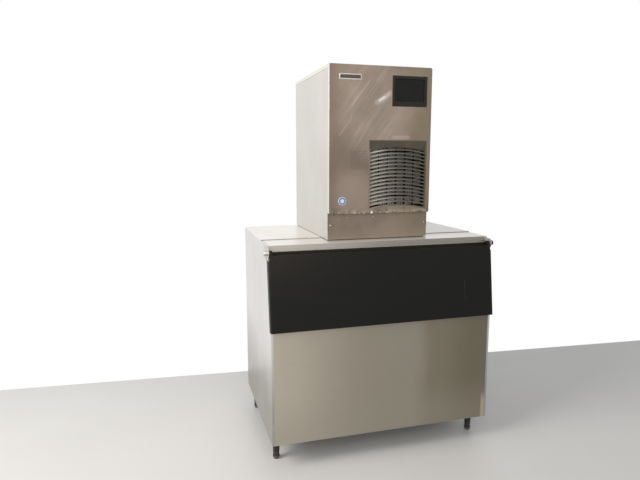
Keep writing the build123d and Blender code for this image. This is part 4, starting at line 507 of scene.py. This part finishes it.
# One shallow stainless pan with round corners, cut out for the louvre and the window.
# It is tarnished brown, wiped and scratched, and its lower lip is knocked in along its length. Painted shade darkens
# its left edge, painted light lightens its left return and one soft patch, and painted glints dot the lip.

FRONT = -0.2875
BIN_TOP = 1.146
LIP = BIN_TOP + 0.137


def line_mask(finish, start, end, width, soft):
    """1 along a line on the front between two points (x, height), and 0 away from it."""
    run = (end[0] - start[0], end[1] - start[1])
    length = run[0] ** 2 + run[1] ** 2
    dx, dz = finish.x - start[0], finish.z - start[1]
    along = ((dx * run[0] + dz * run[1]) / length).held()
    away = ((dx - along * run[0]) ** 2 + (dz - along * run[1]) ** 2) ** 0.5
    return 1 - away.step(width, width + soft)


def box_mask(finish, low, high, soft):
    """1 inside a rectangle on the front, with soft edges."""
    wide = finish.x.step(low[0] - soft, low[0]) * (1 - finish.x.step(high[0], high[0] + soft))
    return wide * finish.z.step(low[1] - soft, low[1]) * (1 - finish.z.step(high[1], high[1] + soft))


def front_steel(name, marks):
    """Tarnished stainless with painted shade at its left edge; marks adds the panel's own scratches and smudges with
    painted light and painted glints, and without marks the lower edge is painted lighter as a painted highlight.
    """
    finish = Finish(name)
    slant = (0, radians(-54), 0)
    fine = finish.noise(700, 2, stretch=(50, 1, 1), seed=90)
    cloud = finish.noise(4.2, 3, seed=91)
    blot = finish.noise(13, 4, stretch=(1, 1, 2), seed=94)
    shade = finish.mix(cloud.step(0.32, 0.68), tone(124, 110, 97), tone(143, 128, 115))
    shade = finish.mix(finish.x.step(0.02, 0.26) * 0.6, shade, tone(127, 115, 93))
    # Painted shade: darker along the left edge.
    shade = finish.mix((1 - finish.x.step(-0.275, -0.2)) * 0.5, shade, tone(112, 99, 85))
    shade = finish.mix(blot.step(0.5, 0.75) * 0.25, shade, tone(110, 100, 84))
    rough = 0.28 + fine * 0.1 + cloud * 0.06
    if marks:
        wide, tall = finish.x * 4.4 + 0.1, (finish.z - (BIN_TOP + 0.67)) * 3.6
        middle = 1 - (wide ** 2 + tall ** 2).step(0.1, 1.2)
        wipe = finish.noise(34, 4, stretch=(9, 1, 1), turn=slant, seed=92).step(0.44, 0.76)
        hair = finish.noise(300, 2, stretch=(90, 1, 1), turn=slant, seed=93).step(0.6, 0.74)
        shade = finish.mix(middle * (wipe * 0.55 + 0.3), shade, tone(170, 154, 144))
        shade = finish.mix(middle * hair * 0.35, shade, tone(198, 186, 178))
        # Painted light: a soft lighter patch low on the left of the panel.
        painted_light_patch = 1 - ((finish.x + 0.14) ** 2 * 60 + (finish.z - (BIN_TOP + 0.24)) ** 2 * 40).step(0.1, 1.0)
        shade = finish.mix(painted_light_patch * 0.4, shade, tone(156, 138, 128))
        lines = [((-0.1567, 0.687), (-0.0638, 0.81), 0.0007, 0.4), ((-0.1624, 0.617), (-0.157, 0.687), 0.0006, 0.15),
                 ((-0.2274, 0.535), (-0.1624, 0.617), 0.0018, 0.25), ((0.0172, 0.561), (0.0812, 0.634), 0.0008, 0.3),
                 ((-0.01, 0.57), (0.03, 0.62), 0.0012, 0.2), ((-0.186, 0.82), (-0.16, 0.76), 0.0005, 0.15)]
        for start, end, width, strength in lines:
            raised = [(x, BIN_TOP + h) for x, h in (start, end)]
            scratch = line_mask(finish, raised[0], raised[1], width, 0.0025)
            shade = finish.mix(scratch * (hair * 0.4 + 0.6) * strength, shade, tone(206, 196, 188))
        rubbed = line_mask(finish, (0.07, BIN_TOP + 0.529), (0.15, BIN_TOP + 0.53), 0.003, 0.01)
        shade = finish.mix(rubbed * 0.35, shade, tone(186, 174, 164))
        smudge = line_mask(finish, (-0.024, BIN_TOP + 0.702), (0.045, BIN_TOP + 0.748), 0.002, 0.02)
        shade = finish.mix(smudge * (wipe * 0.5 + 0.3), shade, tone(206, 196, 190))
        bright = line_mask(finish, (-0.012, BIN_TOP + 0.712), (0.014, BIN_TOP + 0.73), 0.002, 0.008)
        shade = finish.mix(bright * 0.6, shade, tone(236, 230, 226))
        faded = box_mask(finish, (-0.165, BIN_TOP + 0.365), (-0.072, BIN_TOP + 0.458), 0.003)
        bars = (finish.z * 460).math("SINE").step(-0.2, 0.6)
        shade = finish.mix(faded * (bars * 0.22 + cloud * 0.2 + 0.08), shade, tone(104, 90, 78))
        # Painted light: faces turned to the left, the panel's left return, are painted nearly white.
        turned = (0 - finish.facing(0)).step(0.5, 0.9)
        shade = finish.mix(turned * 0.9, shade, tone(218, 214, 206))
        # Along the knocked lower lip: lighter and darker mottling.
        lip_band = 1 - finish.z.step(LIP + 0.012, LIP + 0.026)
        lip_mottle = finish.noise(48, 5, stretch=(1.6, 1, 1), seed=95)
        shade = finish.mix(lip_band * lip_mottle.step(0.46, 0.6) * 0.45, shade, tone(176, 164, 148))
        shade = finish.mix(lip_band * (1 - lip_mottle.step(0.36, 0.45)) * 0.6, shade, tone(84, 74, 62))
        # Painted glints: near-white spots on the dented lip.
        spots = finish.noise(36, 2, seed=97).step(0.66, 0.7) * lip_band
        shade = finish.mix(spots * 0.85, shade, tone(240, 234, 222))
        rough = rough + middle * wipe * 0.1 + lip_band * lip_mottle * 0.1
    else:
        # Painted highlight: the lower front is lighter towards its bottom edge.
        low = 1 - finish.z.step(1.16, 1.24)
        shade = finish.mix(low * 0.45, shade, tone(150, 136, 118))
    return finish.surface(shade, rough, 0.65, fine * 0.7 + cloud * 0.3, 0.00004)


lower_steel = front_steel("lower_front_steel", False)
dress(lower_steel, "head_lower_front")

panel_mesh = bpy.data.objects["head_front_panel"].data.copy()
panel_mesh.name = "head_front_dented"
work = bmesh.new()
work.from_mesh(panel_mesh)
bmesh.ops.remove_doubles(work, verts=work.verts, dist=1e-6)
bmesh.ops.dissolve_limit(work, angle_limit=radians(1), verts=work.verts, edges=work.edges)
LIP_TOP = LIP + 0.03
for step in range(64):
    x = -0.276 + step * 0.552 / 63
    low = [f for f in work.faces if min(v.co.z for v in f.verts) < LIP_TOP]
    edges = list({e for f in low for e in f.edges})
    verts = list({v for f in low for v in f.verts})
    bmesh.ops.bisect_plane(work, geom=low + edges + verts, plane_co=(x, 0, 0), plane_no=(1, 0, 0))
for step in range(9):
    z = LIP + 0.0035 + step * 0.0033
    low = [f for f in work.faces if min(v.co.z for v in f.verts) < LIP_TOP + 0.01]
    edges = list({e for f in low for e in f.edges})
    verts = list({v for f in low for v in f.verts})
    bmesh.ops.bisect_plane(work, geom=low + edges + verts, plane_co=(0, 0, z), plane_no=(0, 0, 1))
knocks = [(-0.24, 0.016, 0.0042), (-0.212, 0.013, 0.0036), (-0.158, 0.012, 0.0034), (-0.1, 0.018, 0.0026),
          (-0.062, 0.012, 0.002), (-0.012, 0.014, 0.0048), (0.03, 0.014, 0.0026), (0.09, 0.02, 0.0018),
          (0.128, 0.014, 0.0034), (0.165, 0.016, 0.0024), (0.238, 0.02, 0.0026)]
for vert in work.verts:
    height = vert.co.z - LIP
    if height > 0.03:
        continue
    fall = max(0.0, 1 - height / 0.03) ** 1.4
    push = sum(deep * 2.718 ** (-((vert.co.x - x) / wide) ** 2) for x, wide, deep in knocks)
    ripple = 0.0007 * sin(vert.co.x * 190) + 0.0005 * sin(vert.co.x * 431 + 1.3)
    vert.co.y += fall * (push + ripple) - fall * 0.0005
    vert.co.z += fall * (0.5 * push - 0.0007 * sin(vert.co.x * 260))
bmesh.ops.triangulate(work, faces=work.faces)
work.to_mesh(panel_mesh)
work.free()
front_panel = bpy.data.objects.new("head_front_dented", panel_mesh)
bpy.context.scene.collection.objects.link(front_panel)
panel_mesh.materials.clear()
panel_mesh.materials.append(front_steel("head_front_steel", True))
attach(front_panel, "machine")
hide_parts("head_front_panel")


def plate_mesh(name, outline, thickness, edge):
    """A flat plate on the front panel, with a bevelled edge."""
    mesh = bpy.data.meshes.new(name)
    build = bmesh.new()
    rings = []
    for inset, y in ((0.0, FRONT), (0.0, FRONT - thickness + edge), (edge, FRONT - thickness)):
        middle = Vector((sum(p[0] for p in outline) / len(outline), sum(p[1] for p in outline) / len(outline)))
        ring = []
        for point in outline:
            inward = middle - Vector(point)
            place = Vector(point) + inward.normalized() * inset
            ring.append(build.verts.new((place.x, y, place.y)))
        rings.append(ring)
    for first, second in zip(rings, rings[1:]):
        for i in range(len(outline)):
            j = (i + 1) % len(outline)
            build.faces.new((first[i], first[j], second[j], second[i]))
    build.faces.new(rings[-1])
    build.faces.new(list(reversed(rings[0])))
    bmesh.ops.recalc_face_normals(build, faces=build.faces)
    build.to_mesh(mesh)
    build.free()
    piece = bpy.data.objects.new(name, mesh)
    bpy.context.scene.collection.objects.link(piece)
    return piece


plate_finish = Finish("plate_metal")
brush = plate_finish.noise(600, 2, stretch=(0.05, 1, 1), seed=100)
plate_shade = plate_finish.mix(brush, tone(70, 62, 55), tone(96, 88, 80))
edge_band = 1 - box_mask(plate_finish, (-0.2225, BIN_TOP + 0.8155), (-0.1145, BIN_TOP + 0.8325), 0.0008)
plate_shade = plate_finish.mix(edge_band * 0.85, plate_shade, tone(206, 200, 192))
plate_metal = plate_finish.surface(plate_shade, 0.3 + brush * 0.15, 0.7, brush, 0.00004)
corners = []
for cx, cz, start in ((-0.1125, 0.8355, 0), (-0.2245, 0.8355, 90), (-0.2245, 0.8125, 180), (-0.1125, 0.8125, 270)):
    for part in range(5):
        angle = radians(start + part * 22.5)
        corners.append((cx + 0.0025 * cos(angle), BIN_TOP + cz + 0.0025 * sin(angle)))
blank_plate = plate_mesh("blank_plate", corners, 0.0016, 0.0005)
blank_plate.data.materials.append(plate_metal)
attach(blank_plate, "machine")

disc_finish = Finish("disc_plastic")
disc_cloud = disc_finish.noise(200, 3, seed=110)
dx, dz = disc_finish.x + 0.2086, disc_finish.z - (BIN_TOP + 0.2047)
radius = (dx * dx + dz * dz) ** 0.5
disc_shade = disc_finish.mix(disc_cloud, tone(206, 212, 220), tone(186, 196, 208))
disc_shade = disc_finish.mix(radius.step(0.0105, 0.0115), disc_shade, tone(74, 112, 168))
disc_shade = disc_finish.mix(radius.step(0.0176, 0.0182), disc_shade, tone(196, 202, 210))
disc_plastic = disc_finish.surface(disc_shade, 0.3 + disc_cloud * 0.1, height=disc_cloud, depth=0.00005)
circle = [(-0.2086 + 0.021 * cos(radians(a)), BIN_TOP + 0.2047 + 0.021 * sin(radians(a))) for a in range(0, 360, 9)]
blank_disc = plate_mesh("blank_disc", circle, 0.0014, 0.0006)
blank_disc.data.materials.append(disc_plastic)
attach(blank_disc, "machine")

# Dark moulded louvre with arched slats, dusty on their upper faces, and painted lighter towards their left ends as
# painted highlight.
# The filter behind it is a fine black mesh in a frame, drawn as crossing wires.

louvre_finish = Finish("louvre_plastic")
cloud = louvre_finish.noise(9, 4, seed=120)
values = {0: louvre_finish.node("ShaderNodeNewGeometry", out="Normal")}
up = louvre_finish.node("ShaderNodeSeparateXYZ", values=values, out=2)
slat = 1 - louvre_finish.z.step(BIN_TOP + 0.455, BIN_TOP + 0.475)
# Painted highlight mask: 1 at the left of the louvre, fading out to the right.
painted_left_highlight = 1 - louvre_finish.x.step(-0.06, 0.14)
# Dust on faces turned up, made stronger at the left as painted highlight.
dust_and_highlight = (up.step(-0.1, 0.7) * (painted_left_highlight * 0.8 + 0.2) * slat + (cloud - 0.5) * 0.2).held()
shade = louvre_finish.mix(cloud, tone(66, 61, 48), tone(86, 80, 66))
shade = louvre_finish.mix(slat * painted_left_highlight * 0.4, shade, tone(150, 143, 130))
shade = louvre_finish.mix(dust_and_highlight * 0.85, shade, tone(206, 199, 186))
louvre_grain = louvre_finish.noise(500, 2, seed=121)
louvre_plastic = louvre_finish.surface(shade, 0.48 + cloud * 0.12, height=louvre_grain, depth=0.00006)
dress(louvre_plastic, "louvre_grille")
dress(moulded("filter_frame", (8, 8, 8), 500, 0.7, 124.0, 0.05, shine=0.08), "air_filter")

mesh_tree = Pattern("filter_mesh", {"Columns": "Int", "Rows": "Int", "Wire": "Float"})
width, height = 0.296, 0.306
strands = mesh_tree.tree.nodes.new("GeometryNodeJoinGeometry")
for count, start, pitch, size in (
    ("Columns", (-0.051, -0.2573, 1.3543 + height / 2), (0.004, 0, 0), (0.0005, 0.0005, height)),
    ("Rows", (-0.051 + width / 2, -0.2568, 1.3543), (0, 0, 0.004), (width, 0.0005, 0.0005)),
):
    bar = mesh_tree.node("GeometryNodeMeshCube", values={"Size": size})
    row = mesh_tree.node("GeometryNodeMeshLine", values={"Count": count, "Start Location": start, "Offset": pitch})
    laid = mesh_tree.node("GeometryNodeInstanceOnPoints", values={"Points": row, "Instance": bar})
    mesh_tree.tree.links.new(laid, strands.inputs[0])
mesh_tree.done(strands.outputs[0], moulded("mesh_plastic", (7, 7, 7), 500, 0.7, 126.0, 0.03, shine=0.05))
filter_mesh = mesh_tree.make("filter_mesh", [(0, 0, 0)], Columns=75, Rows=77, Wire=0.0005)
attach(filter_mesh, "machine")

# A dark bezel with a tinted pane, behind which the controls sit unseen.

dress(moulded("bezel_plastic", (26, 24, 21), 500, 0.45, 130.0, 0.2, (150, 144, 134), shine=0.2), "window_bezel")
lens_finish = Finish("lens_plastic")
haze = lens_finish.noise(30, 4, seed=131)
shade = lens_finish.mix(haze, tone(14, 15, 12), tone(26, 27, 22))
dress(lens_finish.surface(shade, 0.12 + haze * 0.12, Specular_IOR_Level=0.16), "window_lens")

# Behind the front: the black compressor can, the finned condenser, its fan and motor.
# The condenser stays the grooved block of the solids, in dusty aluminium.

dress(coated_black("compressor_paint", tone(14, 14, 14), tone(80, 78, 72), 0.01), "compressor")
dress(moulded("motor_paint", (92, 95, 97), 400, 0.45, 140.0), "fan_motor", "gear_motor")
dress(moulded("fan_plastic", (22, 22, 22), 500, 0.45, 143.0), "fan_blades")

fin_finish = Finish("fin_aluminium")
dust = fin_finish.noise(24, 5, seed=146)
shade = fin_finish.mix(dust.step(0.4, 0.7) * 0.6, tone(186, 188, 188), tone(120, 114, 102))
fin_aluminium = fin_finish.surface(shade, 0.36 + dust * 0.2, 0.7, dust, 0.0001)
dress(fin_aluminium, "condenser")

# The cell block is tinned copper under a serpentine tube; plate, tank and cam are pale plastic.

tin_finish = Finish("tinned_copper")
bloom = tin_finish.noise(40, 5, seed=150)
copper_shows = tin_finish.noise(18, 5, seed=151).step(0.6, 0.72)
shade = tin_finish.mix(bloom, tone(196, 194, 188), tone(164, 161, 154))
shade = tin_finish.mix(copper_shows * 0.6, shade, tone(176, 122, 92))
dress(tin_finish.surface(shade, 0.3 + bloom * 0.2, 0.8, bloom, 0.0001), "evaporator")
dress(white_moulding("tray_plastic", (206, 210, 210), 0.25), "water_plate", "water_tank", "cam_arm")
dress(moulded("pump_plastic", (24, 24, 25), 450, 0.5, 156.0), "circulation_pump")

# A close wound spring between the cam arm and the water plate, drawn as a real helix.

spring_tree = Pattern("wound_wire", {"Turns": "Float", "Coil Radius": "Float", "Length": "Float", "Wire Radius": "Float"})
values = {"Resolution": 16, "Rotations": "Turns", "Start Radius": "Coil Radius", "End Radius": "Coil Radius",
          "Height": "Length"}
helix = spring_tree.node("GeometryNodeCurveSpiral", values=values)
ring = spring_tree.node("GeometryNodeCurvePrimitiveCircle", values={"Resolution": 8, "Radius": "Wire Radius"})
wire = spring_tree.node("GeometryNodeCurveToMesh", values={"Curve": helix, "Profile Curve": ring, "Fill Caps": True})
held_at = spring_tree.node("GeometryNodeInstanceOnPoints", values={"Points": "Geometry", "Instance": wire})
spring_finish = Finish("spring_steel")
spring_worn = spring_finish.noise(300, 3, seed=160)
shade = spring_finish.mix(spring_worn, tone(178, 176, 170), tone(128, 124, 116))
spring_steel = spring_finish.surface(shade, 0.3 + spring_worn * 0.15, 0.85, spring_worn, 0.00004)
spring_tree.done(held_at, spring_steel)
low, high = [Vector(corner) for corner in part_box("tray_spring")]
spring_x, spring_y = (low.x + high.x) / 2, (low.y + high.y) / 2
coils = spring_tree.make("tray_spring_coils", [(spring_x, spring_y, low.z + 0.021)], Turns=64.0, Coil_Radius=0.0058,
                         Length=high.z - low.z - 0.042, Wire_Radius=0.0011)
eyes = bmesh.new()
eyes.from_mesh(coils.data)
for centre, towards in ((high.z - 0.007, -1), (low.z + 0.007, 1)):
    bend = []
    for step in range(29):
        angle = radians(-90 * towards + 330 * step / 28)
        bend.append(Vector((spring_x + 0.0054 * cos(angle), spring_y, centre + 0.0054 * sin(angle))))
    bend = [Vector((spring_x, spring_y, centre + towards * 0.0155))] + bend if towards < 0 else bend[::-1]
    if towards > 0:
        bend = [Vector((spring_x, spring_y, centre + 0.0155))] + bend[::-1]
    rings = []
    for i, point in enumerate(bend):
        ahead = (bend[min(i + 1, len(bend) - 1)] - bend[max(i - 1, 0)]).normalized()
        aside = ahead.cross(Vector((0, 1, 0))).normalized()
        rings.append([eyes.verts.new(point + 0.0011 * (aside * cos(a) + Vector((0, 1, 0)) * sin(a)))
                      for a in [radians(45 * k) for k in range(8)]])
    for first, second in zip(rings, rings[1:]):
        for i in range(8):
            eyes.faces.new((first[i], first[(i + 1) % 8], second[(i + 1) % 8], second[i]))
    eyes.faces.new(rings[0])
    eyes.faces.new(rings[-1])
bmesh.ops.recalc_face_normals(eyes, faces=eyes.faces)
eyes.to_mesh(coils.data)
eyes.free()
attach(coils, "spring")
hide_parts("tray_spring")

# Bare copper lines, dulled brown; the valve is white plastic with its thread at the rear.

pipe_finish = Finish("copper_tube")
patina = pipe_finish.noise(50, 5, seed=170)
shade = pipe_finish.mix(patina, tone(186, 118, 82), tone(124, 78, 56))
dress(pipe_finish.surface(shade, 0.28 + patina * 0.2, 0.85, patina, 0.00006), "refrigerant_pipes")
dress(white_moulding("valve_plastic", (222, 221, 214), 0.15), "water_valve")
dress(moulded("gland_plastic", (20, 20, 20), 500, 0.5, 174.0), "power_gland")

switch_finish = Finish("switch_plating")
plating = switch_finish.noise(400, 2, seed=176)
shade = switch_finish.mix(plating, tone(200, 200, 198), tone(170, 170, 166))
dress(switch_finish.surface(shade, 0.15 + plating * 0.1, 0.9, plating, 0.00003), "mode_switch")

# A plain pale floor under a white surround; one broad soft lamp from the left and one ahead.

floor_mesh = bpy.data.meshes.new("floor")
corners = [(-14, -14, 0), (14, -14, 0), (14, -0.15, 0), (-14, 1.95, 0)]
floor_mesh.from_pydata(corners, [], [(0, 1, 2, 3)])
floor = bpy.data.objects.new("floor", floor_mesh)
bpy.context.scene.collection.objects.link(floor)
floor_finish = Finish("floor_paint")
wear = floor_finish.noise(1.5, 4)
floor_shade = floor_finish.mix(wear, tone(202, 200, 197), tone(196, 194, 190))
floor_mesh.materials.append(floor_finish.surface(floor_shade, 0.4 + wear * 0.1))

world = bpy.data.worlds.new("surround")
bpy.context.scene.world = world
world.use_nodes = True
nodes, links = world.node_tree.nodes, world.node_tree.links
nodes.clear()
path = nodes.new("ShaderNodeLightPath")
seen = None
for ray in ("Is Camera Ray", "Is Glossy Ray", "Is Transmission Ray"):
    if seen is None:
        seen = path.outputs[ray]
        continue
    either = nodes.new("ShaderNodeMath")
    either.operation = "MAXIMUM"
    links.new(seen, either.inputs[0])
    links.new(path.outputs[ray], either.inputs[1])
    seen = either.outputs[0]
plain, white = nodes.new("ShaderNodeBackground"), nodes.new("ShaderNodeBackground")
plain.inputs["Color"].default_value = (0.92, 0.95, 1.0, 1)
plain.inputs["Strength"].default_value = 0.5
white.inputs["Color"].default_value = (1, 1, 1, 1)
white.inputs["Strength"].default_value = 1.0
blend = nodes.new("ShaderNodeMixShader")
links.new(seen, blend.inputs[0])
links.new(plain.outputs[0], blend.inputs[1])
links.new(white.outputs[0], blend.inputs[2])
out = nodes.new("ShaderNodeOutputWorld")
links.new(blend.outputs[0], out.inputs[0])


def lamp(name, place, target, size, power, colour):
    """A soft square lamp that looks at a point."""
    light = bpy.data.lights.new(name, "AREA")
    light.size, light.energy, light.color = size, power, colour
    holder = bpy.data.objects.new(name, light)
    holder.location = place
    holder.rotation_euler = (Vector(target) - Vector(place)).to_track_quat("-Z", "Y").to_euler()
    bpy.context.scene.collection.objects.link(holder)


lamp("left_lamp", (-4.2, -1.2, 3.4), (0, 0, 1.1), 2.6, 230, (1.0, 0.98, 0.95))
lamp("front_lamp", (-1.4, -5.0, 3.2), (0, 0, 1.0), 3.0, 110, (1.0, 0.97, 0.93))

camera_data = bpy.data.cameras.new("camera")
camera_data.sensor_width = 36.0
camera_data.lens = 541.82 / 640 * 36.0
camera = bpy.data.objects.new("camera", camera_data)
camera.location = (-1.07683, -2.91925, 1.56298)
camera.rotation_euler = Euler((radians(90 - 8.471), radians(0.042), radians(-15.915)), "XYZ")
bpy.context.scene.collection.objects.link(camera)
bpy.context.scene.camera = camera
bpy.context.scene.view_settings.view_transform = "Standard"
